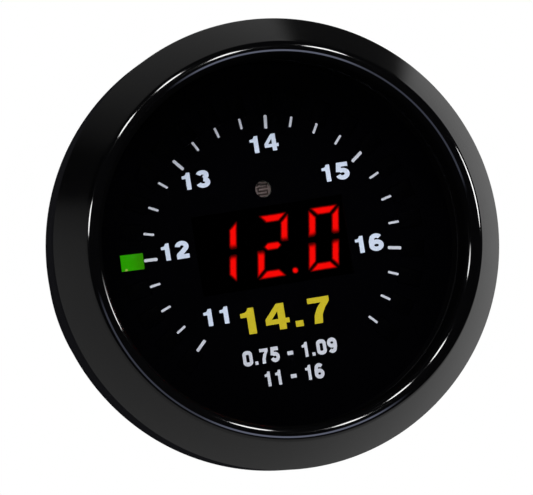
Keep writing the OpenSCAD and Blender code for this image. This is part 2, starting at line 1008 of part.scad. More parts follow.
// Brass inserts for the studs, with a knurl of shallow grooves
module stud_inserts() {
    groove_count = 18;
    color([0.8, 0.65, 0.3])
        facing()
            at_studs()
                difference() {
                    disc(insert_r, -body_depth, insert_len - play - body_depth);
                    disc(stud_r + fit_gap, -body_depth - over, insert_len - body_depth + over);
                    for (i = [0:groove_count - 1])
                        rotate([0, 0, i * 360 / groove_count])
                            translate([insert_r + groove_r / 2, 0, 0])
                                disc(groove_r, stud_boss_wall - body_depth, insert_len - body_depth);
                }
}

// Studs with chamfered ends
module mounting_studs() {
    top = insert_len - stud_r / 2 - body_depth;
    low = -body_depth - stud_out;
    color([0.72, 0.72, 0.74])
        facing()
            at_studs()
                rotate_extrude()
                    polygon([[0, low], [stud_r - stud_chamfer, low], [stud_r, low + stud_chamfer],
                             [stud_r, top - stud_chamfer], [stud_r - stud_chamfer, top], [0, top]]);
}

// Half of the bracket's bent strip, seen from the side
module half_strip() {
    out = leg_y + bracket_t;
    union() {
        translate([leg_y, base_front + bend_r])
            square([bracket_t, leg_len - bend_r]);
        translate([0, base_back])
            square([leg_y - bend_r, bracket_t]);
        intersection() {
            translate([leg_y - bend_r, base_front + bend_r])
                difference() {
                    circle(r = bend_r + bracket_t);
                    circle(r = bend_r);
                }
            translate([leg_y - bend_r, base_back])
                square([out - leg_y + bend_r, bend_r + bracket_t]);
        }
    }
}

// Clamp bracket: an upright U of bent strip, with a hole for each stud and round feet corners
module clamp_bracket() {
    foot_round = bracket_w / 5;
    color([0.7, 0.7, 0.72])
        difference() {
            rotate([0, 90, 0])
                translate([0, 0, -bracket_w / 2])
                    linear_extrude(bracket_w)
                        union() {
                            mirror([0, 1])
                                half_strip();
                            mirror([1, 0])
                                mirror([0, 1])
                                    half_strip();
                        }
            facing()
                at_studs()
                    disc(stud_hole_r, base_back - over, base_front + over);
            for (sx = [-1, 1])
                translate([sx * (bracket_w / 2 - foot_round), foot_round - foot_h,
                           -leg_y - bracket_t - over])
                    foot_corner(foot_round, sx);
        }
}

// Cuts one rounded corner off both feet
module foot_corner(r, sx) {
    linear_extrude(2 * (leg_y + bracket_t + over))
        difference() {
            translate([sx > 0 ? 0 : -r - over, -r - over])
                square([r + over, r + over]);
            circle(r = r, $fn = 48);
        }
}

module washers() {
    color([0.72, 0.72, 0.74])
        facing()
            at_studs()
                ring(nut_r, stud_hole_r, washer_back, base_back);
}

// Thumb nut: a grooved rim above a smooth neck
module thumb_nut(side) {
    color([0.72, 0.72, 0.74])
        facing()
            translate([0, side * stud_y, 0])
                difference() {
                    union() {
                        disc(nut_r - groove_r, nut_back + nut_neck, washer_back);
                        disc(nut_r, nut_back + nut_neck, washer_back - nut_neck);
                        disc(nut_r - nut_neck, nut_back, nut_back + nut_neck + play);
                    }
                    disc(nut_bore_r, nut_back - over, washer_back + over);
                    for (i = [0:nut_grooves - 1])
                        rotate([0, 0, i * 360 / nut_grooves])
                            translate([nut_r + groove_r / 2, 0, 0])
                                disc(groove_r, nut_back, washer_back);
                }
}

module upper_thumb_nut() {
    thumb_nut(1);
}

module lower_thumb_nut() {
    thumb_nut(-1);
}

bezel_ring();
front_lens();
lens_gasket();
dial_retaining_ring();
dial_plate();
display_filter();
light_guide_plate();
lamp_baffle();
lamp_light_pipes();
lit_light_pipe();
ring_leds();
backlight_leds();
display_case();
lit_segments();
dark_segments();
display_pins();
light_sensor();
display_board();
display_screws();
board_spacers();
header_socket();
header_pins();
main_board();
microcontroller();
interface_chip();
heater_transistor();
voltage_regulator();
filter_capacitors();
power_inductor();
clock_crystal();
chip_resistors();
housing_body();
rear_cover();
power_socket();
power_pins();
sensor_socket();
sensor_pins();
mode_switch();
mode_switch_rotor();
stud_inserts();
mounting_studs();
clamp_bracket();
washers();
upper_thumb_nut();
lower_thumb_nut();
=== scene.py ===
"""Looks of a 52 mm air fuel ratio gauge: finishes, scale, glowing display, fine shapes, light and camera.

Sizes are in millimetres and angles in degrees. A drawing point (x, y, height) is right, up and out of the
dial, counted from the panel's plane, and facing() turns it into the row frame, where -Y points out of the
dial and +Z is up.
"""

import logging
import math
from dataclasses import dataclass, field
from enum import Enum
from typing import Callable, Iterable, Sequence, Union

import bmesh
import bpy
from bpy.types import ID, Material, Mesh, Node, NodeSocket, NodeTree, Object
from mathutils import Matrix, Vector

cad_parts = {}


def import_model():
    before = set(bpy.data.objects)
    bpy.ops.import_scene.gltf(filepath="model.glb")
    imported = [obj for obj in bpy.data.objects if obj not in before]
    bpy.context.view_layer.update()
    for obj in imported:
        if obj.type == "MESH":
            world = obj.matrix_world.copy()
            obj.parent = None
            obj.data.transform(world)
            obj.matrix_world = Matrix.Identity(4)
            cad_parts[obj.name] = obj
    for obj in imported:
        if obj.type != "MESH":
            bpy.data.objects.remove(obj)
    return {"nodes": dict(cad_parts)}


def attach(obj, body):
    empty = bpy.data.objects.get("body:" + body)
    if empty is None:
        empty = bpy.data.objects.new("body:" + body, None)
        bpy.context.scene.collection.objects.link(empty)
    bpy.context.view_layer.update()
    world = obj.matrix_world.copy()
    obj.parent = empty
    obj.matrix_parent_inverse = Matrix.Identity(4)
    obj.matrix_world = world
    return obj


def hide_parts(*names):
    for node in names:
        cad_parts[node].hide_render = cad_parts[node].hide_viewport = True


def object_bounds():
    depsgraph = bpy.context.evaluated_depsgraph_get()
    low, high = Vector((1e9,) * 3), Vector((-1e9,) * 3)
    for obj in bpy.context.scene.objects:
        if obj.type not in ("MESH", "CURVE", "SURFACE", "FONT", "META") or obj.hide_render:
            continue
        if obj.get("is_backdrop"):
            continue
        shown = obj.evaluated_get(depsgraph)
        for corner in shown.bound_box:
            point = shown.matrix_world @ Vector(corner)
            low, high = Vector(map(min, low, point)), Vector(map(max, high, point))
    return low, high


MM = 0.001
TURN = 2 * math.pi
AXIS_R = 1e-9
DOUBLES_M = 1e-7
CAD_DOUBLES_M = 2e-7
BODY = "gauge"
BLACK = (0.0, 0.0, 0.0)
WHITE = (1.0, 1.0, 1.0)
LOG = logging.getLogger("gauge")

Point2 = tuple[float, float]
Point3 = tuple[float, float, float]
Colour = tuple[float, float, float]
Value = Union["Wire", float, int]
Settings = dict[str, object] | None
Inputs = dict[int | str, object] | None


def facing(x: float, y: float, height: float) -> Vector:
    """Returns a drawing point in the row frame, in metres."""
    return Vector((x * MM, -height * MM, y * MM))


def polar(degrees: float) -> Point2:
    """Returns the cosine and the sine of an angle."""
    return math.cos(math.radians(degrees)), math.sin(math.radians(degrees))


def stand(name: str, data: ID) -> Object:
    """Puts some data into the scene.

    Args:
        name: The object's name.
        data: Its data.

    Returns:
        The new object.
    """
    made = bpy.data.objects.new(name, data)
    bpy.context.scene.collection.objects.link(made)
    return made


def frame_at(side: Vector, up: Vector, back: Vector, place: Vector) -> Matrix:
    """Returns the matrix of an object with these axes at this place."""
    return Matrix.Translation(place) @ Matrix((side, up, back)).transposed().to_4x4()


# Shader maths


def operator(operation: str, reflected: bool = False) -> Callable[..., "Wire"]:
    """Makes a method of Wire that adds one Math node.

    Args:
        operation: The node's operation.
        reflected: Whether the wire comes last, as in a sum with a number in front.

    Returns:
        The method.
    """

    def method(self: "Wire", *others: Value) -> "Wire":
        """Returns the node's result."""
        values = (*others, self) if reflected else (self, *others)
        return self.kit.add("Math", {"operation": operation}, dict(enumerate(values)))

    return method


class Wire:
    """A shader socket that takes part in sums: each operator adds its Math node."""

    def __init__(self, kit: "NodeKit", socket: NodeSocket) -> None:
        self.kit = kit
        self.socket = socket

    __add__ = __radd__ = operator("ADD")
    __sub__ = operator("SUBTRACT")
    __rsub__ = operator("SUBTRACT", reflected=True)
    __mul__ = __rmul__ = operator("MULTIPLY")
    __truediv__ = operator("DIVIDE")
    __gt__ = operator("GREATER_THAN")
    __lt__ = operator("LESS_THAN")
    __abs__ = operator("ABSOLUTE")
    sine = operator("SINE")
    cosine = operator("COSINE")
    root = operator("SQRT")
    most = operator("MAXIMUM")
    modulo = operator("FLOORED_MODULO")
    arctan2 = operator("ARCTAN2")

    def ramp(self, low: float, high: float) -> "Wire":
        """Returns a smooth step from 0 at low to 1 at high; low may be above high."""
        inputs = {"Value": self, "From Min": low, "From Max": high}
        return self.kit.add("MapRange", {"interpolation_type": "SMOOTHSTEP"}, inputs)


def reach(x: Wire, y: Wire) -> Wire:
    """Returns the distance of a flat point from the middle."""
    return (x * x + y * y).root()


class NodeKit:
    """Adds nodes to one tree."""

    def __init__(self, tree: NodeTree) -> None:
        """Empties the tree and keeps it.

        Args:
            tree: The tree.
        """
        self.tree = tree
        self.tree.nodes.clear()
        self._place: Wire | None = None

    def node(self, kind: str, settings: Settings = None, inputs: Inputs = None) -> Node:
        """Adds one node.

        Args:
            kind: The node's type, without ShaderNode in front.
            settings: Its settings, set first.
            inputs: Values or wires for its sockets, by index or name.

        Returns:
            The node.
        """
        node = self.tree.nodes.new(kind if "Node" in kind else "ShaderNode" + kind)
        for name, value in (settings or {}).items():
            setattr(node, name, value)
        for key, value in (inputs or {}).items():
            socket = node.inputs[key]
            if isinstance(value, Wire):
                self.tree.links.new(value.socket, socket)
            else:
                is_colour = socket.type == "RGBA" and isinstance(value, tuple)
                socket.default_value = (*value, 1.0) if is_colour else value
        return node

    def add(self, kind: str, settings: Settings = None, inputs: Inputs = None, out: int | str = 0) -> Wire:
        """Adds one node, as node() does, and returns the output that out names."""
        return Wire(self, self.node(kind, settings, inputs).outputs[out])

    def place(self) -> Wire:
        """Finds the point on the piece, once for the tree.

        Returns:
            The point in millimetres.
        """
        if self._place is None:
            where = self.add("TexCoord", out="Object")
            scale = {0: where, "Scale": 1 / MM}
            self._place = self.add("VectorMath", {"operation": "SCALE"}, scale)
        return self._place

    def split(self, vector: Wire) -> tuple[Wire, Wire, Wire]:
        """Returns a vector's three parts."""
        node = self.node("SeparateXYZ", inputs={0: vector})
        return tuple(Wire(self, node.outputs[i]) for i in range(3))

    def drawing(self) -> tuple[Wire, Wire, Wire]:
        """Returns the drawing's x, y and height of the point on the piece, in millimetres."""
        x, y, z = self.split(self.place())
        return x, z, 0 - y

    def join(self, x: Value, y: Value, z: Value) -> Wire:
        """Returns a vector of three parts."""
        return self.add("CombineXYZ", inputs={0: x, 1: y, 2: z})

    def noise(self, per_mm: float, detail: float = 3.0, rough: float = 0.5, at: Wire | None = None) -> Wire:
        """Adds a noise.

        Args:
            per_mm: Blobs in a millimetre.
            detail: Octaves.
            rough: How strong the fine octaves are.
            at: The point, in millimetres; the point on the piece if left out.

        Returns:
            The noise, from 0 to 1.
        """
        inputs = {"Vector": at or self.place(), "Scale": per_mm, "Detail": detail, "Roughness": rough}
        return self.add("TexNoise", inputs=inputs)

    def mix(self, share: Value, low: object, high: object) -> Wire:
        """Returns a colour between low and high."""
        return self.add("Mix", {"data_type": "RGBA"}, {0: share, 6: low, 7: high}, out=2)

    def bump(self, height: Wire, size: float, strength: float = 1.0) -> Wire:
        """Returns a normal bent by a height of 0 to 1, where 1 is size millimetres high."""
        inputs = {"Height": height, "Distance": size * MM, "Strength": strength}
        return self.add("Bump", inputs=inputs)

    def principled(self, colour: object, roughness: Value, gloss: float = 0.5, normal: Wire | None = None,
                   glow: object = BLACK, strength: float = 0.0, metallic: float = 0.0) -> Wire:
        """Adds the main shader.

        Args:
            colour: Its base colour.
            roughness: Its roughness.
            gloss: Its Specular IOR Level.
            normal: Its normal; the face's own if left out.
            glow: The colour that it emits.
            strength: How much it emits.
            metallic: How much of a metal it is.

        Returns:
            The shader.
        """
        sockets = {"Base Color": colour, "Roughness": roughness, "Specular IOR Level": gloss,
                   "Metallic": metallic, "Emission Color": glow, "Emission Strength": strength}
        return self.add("BsdfPrincipled", inputs=sockets | ({"Normal": normal} if normal else {}))

    def surface(self, shader: Wire) -> None:
        """Makes a shader the tree's surface."""
        self.node("OutputMaterial", inputs={"Surface": shader})

    def surface_mix(self, share: Wire, first: Wire, second: Wire) -> None:
        """Makes a mix of two shaders the tree's surface."""
        self.surface(self.add("MixShader", inputs={0: share, 1: first, 2: second}))

    def ray(self, kind: str) -> Wire:
        """Returns 1 for rays of a kind, as the Light Path node names it, else 0."""
        return self.add("LightPath", out=f"Is {kind} Ray")


# Finishes


@dataclass(frozen=True)
class Finish:
    """A material made once and shared by every piece that has it."""

    name: str

    def shader(self, kit: NodeKit) -> Wire:
        """Builds the main shader.

        Args:
            kit: The material's tree.

        Returns:
            The shader.
        """
        raise NotImplementedError

    def dress(self, kit: NodeKit) -> None:
        """Builds the tree: one main shader."""
        kit.surface(self.shader(kit))

    def material(self) -> Material:
        """Builds the material when it is first asked for.

        Returns:
            The material.
        """
        label = "look_" + self.name
        if label not in bpy.data.materials:
            made = bpy.data.materials.new(label)
            made.use_nodes = True
            self.dress(NodeKit(made.node_tree))
        return bpy.data.materials[label]


@dataclass(frozen=True)
class Moulded(Finish):
    """Moulded plastic or rubber: a fine spark-eroded grain and soft mottling."""

    colour: Colour
    roughness: float
    grain_per_mm: float = 5.0
    grain_depth: float = 0.012
    mottle: float = 0.12
    gloss: float = 0.5

    def shader(self, kit: NodeKit) -> Wire:
        """Builds the main shader.

        Args:
            kit: The material's tree.

        Returns:
            The shader.
        """
        cloud = kit.noise(0.35, 4.0, 0.6)
        grain = kit.noise(self.grain_per_mm, 3.0, 0.65)
        dark = tuple(c * (1 - self.mottle) for c in self.colour)
        light = tuple(min(1.0, c * (1 + self.mottle)) for c in self.colour)
        rough = self.roughness + (grain - 0.5) * 0.18 + (cloud - 0.5) * 0.12
        tone = kit.mix(cloud.ramp(0.3, 0.7), dark, light)
        return kit.principled(tone, rough, self.gloss, kit.bump(grain, self.grain_depth))


@dataclass(frozen=True)
class BezelCoat(Finish):
    """Black anodised bezel: satin flanks with fine turning lines, a polished crest and a dull lip."""

    colour: Colour = (0.0008, 0.0008, 0.0009)
    speck_share: float = 0.35
    speck_gain: float = 3.0
    crest_low: float = 13.95
    crest_high: float = 14.4
    lip_r: float = 24.8
    lip_h: float = 14.3
    satin: float = 0.17
    polish: float = 0.06
    dull: float = 0.6
    grain_depth: float = 0.0004

    def dress(self, kit: NodeKit) -> None:
        """Builds the tree: the coat, and a dull black inside the lip, which climbs higher at the top.

        Args:
            kit: The material's tree.
        """
        x, y, height = kit.drawing()
        out = reach(x, y)
        low_in = out.ramp(self.lip_r + 0.25, self.lip_r) * height.ramp(self.lip_h + 0.4, self.lip_h)
        high_in = out.ramp(self.lip_r + 0.16, self.lip_r + 0.04) * y.ramp(-9.0, 0.0)
        dull = kit.principled(self.colour, self.dull, 0.0)
        kit.surface_mix(low_in.most(high_in), self.shader(kit), dull)

    def shader(self, kit: NodeKit) -> Wire:
        """Builds the main shader.

        Args:
            kit: The material's tree.

        Returns:
            The shader.
        """
        x, y, height = kit.drawing()
        lines = kit.noise(14.0, 2.0, 0.6, kit.join(reach(x, y), height, x * 0.01))
        cloud = kit.noise(0.5, 4.0, 0.55)
        speck = kit.noise(3.2, 1.0, 0.4).ramp(0.74, 0.8)
        crest = height.ramp(self.crest_low, self.crest_high)
        matt = self.satin + (lines - 0.5) * 0.05 + (cloud - 0.5) * 0.07 + speck * 0.1
        tone = kit.mix(speck * self.speck_share, self.colour, tuple(c * self.speck_gain for c in self.colour))
        normal = kit.bump(lines + cloud * 0.4, self.grain_depth, 0.7)
        return kit.principled(tone, matt + crest * (self.polish - matt), normal=normal)


@dataclass(frozen=True)
class ClearCover(Finish):
    """Clear cover: it lets light straight through and adds only the gloss of its outer faces."""

    tint: Colour = WHITE
    gloss: float = 0.5
    roughness: float = 0.02
    index: float = 1.45

    def dress(self, kit: NodeKit) -> None:
        """Builds the tree: see-through and gloss, mixed by how flat the view is.

        Args:
            kit: The material's tree.
        """
        smear = kit.noise(0.25, 3.0, 0.5)
        edge = kit.add("Fresnel", inputs={"IOR": self.index})
        outside = 1 - kit.add("NewGeometry", out="Backfacing")
        share = edge * outside * (self.gloss * (0.9 + smear * 0.2))
        through = kit.add("BsdfTransparent", inputs={"Color": self.tint})
        gloss = {"Color": WHITE, "Roughness": self.roughness + smear * 0.02}
        kit.surface_mix(share, through, kit.add("BsdfAnisotropic", inputs=gloss))


@dataclass(frozen=True)
class DialFace(Finish):
    """Printed satin black of the dial, with a fine orange-peel and faint dust."""

    colour: Colour = (0.0003, 0.0003, 0.0006)
    dust: Colour = (0.012, 0.012, 0.013)
    dust_share: float = 0.12
    roughness: float = 0.5
    gloss: float = 0.004

    def shader(self, kit: NodeKit) -> Wire:
        """Builds the main shader.

        Args:
            kit: The material's tree.

        Returns:
            The shader.
        """
        peel = kit.noise(6.0, 3.0, 0.6)
        cloud = kit.noise(0.3, 3.0, 0.5)
        dust = kit.noise(4.0, 0.0, 0.5).ramp(0.8, 0.86)
        rough = self.roughness + (peel - 0.5) * 0.15 + (cloud - 0.5) * 0.1
        tone = kit.mix(dust * self.dust_share, self.colour, self.dust)
        return kit.principled(tone, rough, self.gloss, kit.bump(peel, 0.004))


@dataclass(frozen=True)
class Ink(Finish):
    """Screen printed ink: nearly even, and lit faintly from behind."""

    colour: Colour
    lit: float
    roughness: float = 0.55
    gloss: float = 0.1

    def shader(self, kit: NodeKit) -> Wire:
        """Builds the main shader.

        Args:
            kit: The material's tree.

        Returns:
            The shader.
        """
        body = kit.noise(5.0, 3.0, 0.6)
        tone = kit.mix(body.ramp(0.25, 0.75), tuple(c * 0.88 for c in self.colour), self.colour)
        rough = self.roughness + (body - 0.5) * 0.2
        return kit.principled(tone, rough, self.gloss, kit.bump(body, 0.004), tone, self.lit)


@dataclass(frozen=True)
class Glow(Finish):
    """A lit display segment: bright in the middle, deeper at its edge. It reads the glow attribute."""

    base: Colour = (0.25, 0.004, 0.002)
    centre: Colour = (1.0, 0.0035, 0.0022)
    edge: Colour = (0.05, 0.0, 0.0)
    strength: float = 4.5
    roughness: float = 0.4

    def shader(self, kit: NodeKit) -> Wire:
        """Builds the main shader.

        Args:
            kit: The material's tree.

        Returns:
            The shader.
        """
        middle = kit.add("Attribute", {"attribute_name": "glow"}, out="Fac")
        cloud = kit.noise(1.6, 2.0, 0.5)
        share = (middle + (cloud - 0.5) * 0.25).ramp(0.1, 1.0)
        rough = self.roughness + (cloud - 0.5) * 0.1
        glow = kit.mix(share, self.edge, self.centre)
        return kit.principled(self.base, rough, 0.0, glow=glow, strength=self.strength)


@dataclass(frozen=True)
class PipeGlow(Finish):
    """The lit end of a light pipe: green, dimmer towards the dial's centre, with a painted highlight: a small
    glint painted near one corner.
    """

    left: float = -20.6
    right: float = -17.5
    low: float = -0.4
    # Where the painted glint sits, measured from the pipe's left end and its low edge
    painted_glint_x: float = 0.62
    painted_glint_y: float = 0.12
    base: Colour = (0.004, 0.03, 0.0)
    bright: Colour = (0.017, 0.265, 0.0)
    dim: Colour = (0.020, 0.160, 0.0)
    # Colour of the painted highlight, a glint painted near one corner of the pipe's end
    corner: Colour = (0.25, 0.36, 0.06)
    roughness: float = 0.35
    gloss: float = 0.02

    def shader(self, kit: NodeKit) -> Wire:
        """Builds the main shader.

        Args:
            kit: The material's tree.

        Returns:
            The shader.
        """
        x, y, _ = kit.drawing()
        cloud = kit.noise(1.3, 2.0, 0.5)
        along = (x + cloud * 0.8).ramp(self.left + 1.2, self.right + 0.8)
        # Painted highlight: a small bright spot near the low left corner stands in for a glint of light on the
        # pipe's edge
        spot = reach(x - (self.left + self.painted_glint_x), y - (self.low + self.painted_glint_y)).ramp(0.26, 0.08)
        rough = self.roughness + (cloud - 0.5) * 0.1
        glow = kit.mix(spot, kit.mix(along, self.bright, self.dim), self.corner)
        return kit.principled(self.base, rough, self.gloss, glow=glow, strength=1.0)


@dataclass(frozen=True)
class Metal(Finish):
    """Plated or turned metal: fine wear in its gloss and tint, with faint drawing lines."""

    colour: Colour
    worn: Colour
    roughness: float = 0.3
    line_per_mm: float = 9.0
    line_depth: float = 0.002
    metallic: float = 0.82

    def shader(self, kit: NodeKit) -> Wire:
        """Builds the main shader.

        Args:
            kit: The material's tree.

        Returns:
            The shader.
        """
        x, y, height = kit.drawing()
        cloud = kit.noise(0.8, 4.0, 0.6)
        lines = kit.noise(self.line_per_mm, 2.0, 0.6, kit.join(x * 0.15, y * 0.15, height))
        spots = kit.noise(2.5, 2.0, 0.6).ramp(0.6, 0.75)
        rough = self.roughness + (cloud - 0.5) * 0.2 + (lines - 0.5) * 0.12
        tone = kit.mix(cloud.ramp(0.35, 0.75) * 0.6 + spots * 0.3, self.colour, self.worn)
        return kit.principled(tone, rough, normal=kit.bump(lines, self.line_depth), metallic=self.metallic)


@dataclass(frozen=True)
class SolderMask(Finish):
    """Circuit board: green solder mask over copper tracks, and a bare glass edge."""

    mask: Colour = (0.006, 0.06, 0.028)
    track: Colour = (0.012, 0.115, 0.05)
    edge: Colour = (0.30, 0.27, 0.14)
    board_r: float = 23.85
    pitch: float = 1.27
    patch_per_mm: float = 0.16
    roughness: float = 0.3

    def shader(self, kit: NodeKit) -> Wire:
        """Builds the main shader: the tracks run along x in some patches and along y in others.

        Args:
            kit: The material's tree.

        Returns:
            The shader.
        """
        x, y, _ = kit.drawing()
        patches = {"Vector": kit.join(x, y, 0.0), "Scale": self.patch_per_mm, "Randomness": 0.8}
        square = {"feature": "F1", "distance": "CHEBYCHEV"}
        way, _, _ = kit.split(kit.add("TexVoronoi", square, patches, out="Color"))
        across = (x * (way > 0.5) + y * (way < 0.5)) / self.pitch
        tracks = abs((across * TURN).sine()).ramp(0.62, 0.74)
        rim = reach(x, y) > self.board_r
        cloud = kit.noise(1.2, 3.0, 0.5)
        face = kit.mix(tracks * 0.9 + cloud * 0.1, self.mask, self.track)
        rough = self.roughness + rim * 0.35 + (cloud - 0.5) * 0.12
        return kit.principled(kit.mix(rim, face, self.edge), rough, normal=kit.bump(tracks, 0.02))


@dataclass(frozen=True)
class PhotoCell(Finish):
    """Face of the light sensor: a dark winding track on a dull pink ground, under clear resin."""

    middle_y: float = 7.65
    pitch: float = 0.44
    ground_low: Colour = (0.075, 0.055, 0.052)
    ground_high: Colour = (0.16, 0.125, 0.12)
    track: Colour = (0.012, 0.006, 0.004)
    rim: Colour = (0.07, 0.082, 0.072)
    roughness: float = 0.35
    gloss: float = 0.15

    def shader(self, kit: NodeKit) -> Wire:
        """Builds the main shader: bars, joined at the right and left by turns.

        Args:
            kit: The material's tree.

        Returns:
            The shader.
        """
        x, y, _ = kit.drawing()
        row = (y - self.middle_y) / self.pitch
        bars = abs((row * TURN / 2).sine()).ramp(0.45, 0.75)
        odd = ((row - 0.5) * TURN / 2).sine() > 0
        turns = (x * (odd * 2 - 1)).ramp(0.46, 0.54)
        track = bars.most(turns) * abs(x).ramp(0.74, 0.66)
        cloud = kit.noise(1.6, 3.0, 0.5)
        face = kit.mix(track * 0.85, kit.mix(cloud, self.ground_low, self.ground_high), self.track)
        rim = reach(x, y - self.middle_y).ramp(0.98, 1.16)
        rough = self.roughness + (cloud - 0.5) * 0.2
        return kit.principled(kit.mix(rim * 0.8, face, self.rim), rough, self.gloss, kit.bump(track, 0.02))


# Outlines


def crosswise(way: Vector) -> Vector:
    """Returns a flat direction turned left by a quarter."""
    return Vector((-way.y, way.x))


def arc(x: float, y: float, radius: float, start: float, end: float, steps: int,
        tall: float = 1.0) -> list[Point2]:
    """Returns points of an arc from a start to an end angle, stretched upright by tall."""
    turns = (polar(start + (end - start) * i / steps) for i in range(steps + 1))
    return [(x + radius * across, y + tall * radius * rise) for across, rise in turns]


def inset(outline: Sequence[Point2], width: float) -> list[Point2]:
    """Moves each corner of an outline inwards along both of its sides.

    Args:
        outline: Its corners, anticlockwise.
        width: How far each side moves.

    Returns:
        The moved corners.
    """
    moved = []
    for i, spot in enumerate(outline):
        here = Vector(spot)
        before = crosswise((here - Vector(outline[i - 1])).normalized())
        after = crosswise((Vector(outline[(i + 1) % len(outline)]) - here).normalized())
        normal = (before + after).normalized()
        moved.append(tuple(here + normal * (width / max(0.5, normal.dot(after)))))
    return moved


def filleted(outline: Sequence[Point2], radii: Sequence[float], steps: int = 4) -> list[Point2]:
    """Rounds the corners of a closed outline.

    Args:
        outline: Its corners.
        radii: One radius for each corner.
        steps: Points on each arc.

    Returns:
        The outline with an arc in place of each corner whose radius isn't zero and that isn't nearly flat.
    """
    rounded: list[Point2] = []
    for i, size in enumerate(radii):
        corner = Vector(outline[i])
        back = Vector(outline[i - 1]) - corner
        ahead = Vector(outline[(i + 1) % len(outline)]) - corner
        half = back.angle(ahead) / 2 if size > 0 else 0.0
        if size <= 0 or half > math.radians(88):
            rounded.append(tuple(corner))
            continue
        cut = min(size / math.tan(half), back.length * 0.49, ahead.length * 0.49)
        out = (back.normalized() + ahead.normalized()).normalized()
        centre = corner + out * math.hypot(cut * math.tan(half), cut)
        start = corner + back.normalized() * cut - centre
        sweep = start.angle_signed(corner + ahead.normalized() * cut - centre)
        for k in range(steps + 1):
            rounded.append(tuple(centre + Matrix.Rotation(-sweep * k / steps, 2) @ start))
    return rounded


def ribbon(path: Sequence[Point2], width: float) -> list[Point2]:
    """Outlines a stroke of even width with square ends.

    Args:
        path: Points of its middle line.
        width: Its width.

    Returns:
        The outline, anticlockwise.
    """
    ways = [(Vector(b) - Vector(a)).normalized() for a, b in zip(path, path[1:])]
    left, right = [], []
    for spot, before, after in zip(path, ways[:1] + ways, ways + ways[-1:]):
        side = crosswise((before + after).normalized())
        offset = side * (width / 2 / max(0.6, side.dot(crosswise(after))))
        left.append(tuple(Vector(spot) + offset))
        right.append(tuple(Vector(spot) - offset))
    return right + left[::-1]


# Meshes


class Shade(Enum):
    """How a mesh's faces meet: the angle above which an edge stays sharp."""

    FLAT = 0.0
    CRISP = 25.0
    SOFT = 50.0


def merged(source: Mesh, name: str, sharp: float, doubles: float = DOUBLES_M, flat: float = 0.0) -> Mesh:
    """Copies a mesh with its doubles merged and its sharp edges marked.

    Args:
        source: The mesh, which stays as it is.
        name: The copy's name.
        sharp: The angle above which an edge stays sharp; 0 leaves the faces flat.
        doubles: How near points are merged, in metres.
        flat: The angle under which cuts in a face are merged too; 0 turns the faces outwards instead.

    Returns:
        The copy.
    """
    work = bmesh.new()
    work.from_mesh(source)
    bmesh.ops.remove_doubles(work, verts=work.verts, dist=doubles)
    if flat:
        bmesh.ops.dissolve_limit(work, angle_limit=math.radians(flat), verts=work.verts, edges=work.edges,
                                 delimit={"NORMAL"})
    else:
        bmesh.ops.recalc_face_normals(work, faces=work.faces)
    for face in work.faces:
        face.smooth = sharp > 0
    for edge in work.edges:
        edge.smooth = len(edge.link_faces) == 2 and edge.calc_face_angle(0.0) < math.radians(sharp)
    mesh = bpy.data.meshes.new(name)
    work.to_mesh(mesh)
    work.free()
    return mesh


def baked(carrier: Object, name: str) -> Mesh:
    """Turns an object into a plain mesh, and removes its modifiers and the object.

    Args:
        carrier: The object.
        name: The mesh's name.

    Returns:
        The mesh, with the modifiers applied.
    """
    bpy.context.view_layer.update()
    depsgraph = bpy.context.evaluated_depsgraph_get()
    mesh = bpy.data.meshes.new_from_object(carrier.evaluated_get(depsgraph), depsgraph=depsgraph)
    mesh.name = name
    for modifier in list(carrier.modifiers):
        carrier.modifiers.remove(modifier)
    bpy.data.objects.remove(carrier)
    return mesh


def place_piece(mesh: Mesh, name: str, finish: Finish, body: str = BODY,
                slot: str | None = None, node: str | None = None) -> None:
    """Makes a piece of a mesh.

    Args:
        mesh: The mesh.
        name: The piece's name.
        finish: Its material.
        body: The body it rides on.
        slot: The record's slot of its finish; not used.
        node: The CAD node that it stands for.
    """
    piece = stand(name, mesh)
    mesh.materials.clear()
    mesh.materials.append(finish.material())
    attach(piece, body)
    if node:
        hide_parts(node)
    LOG.info("%s: %d faces, rides on %s", name, len(mesh.polygons), body)


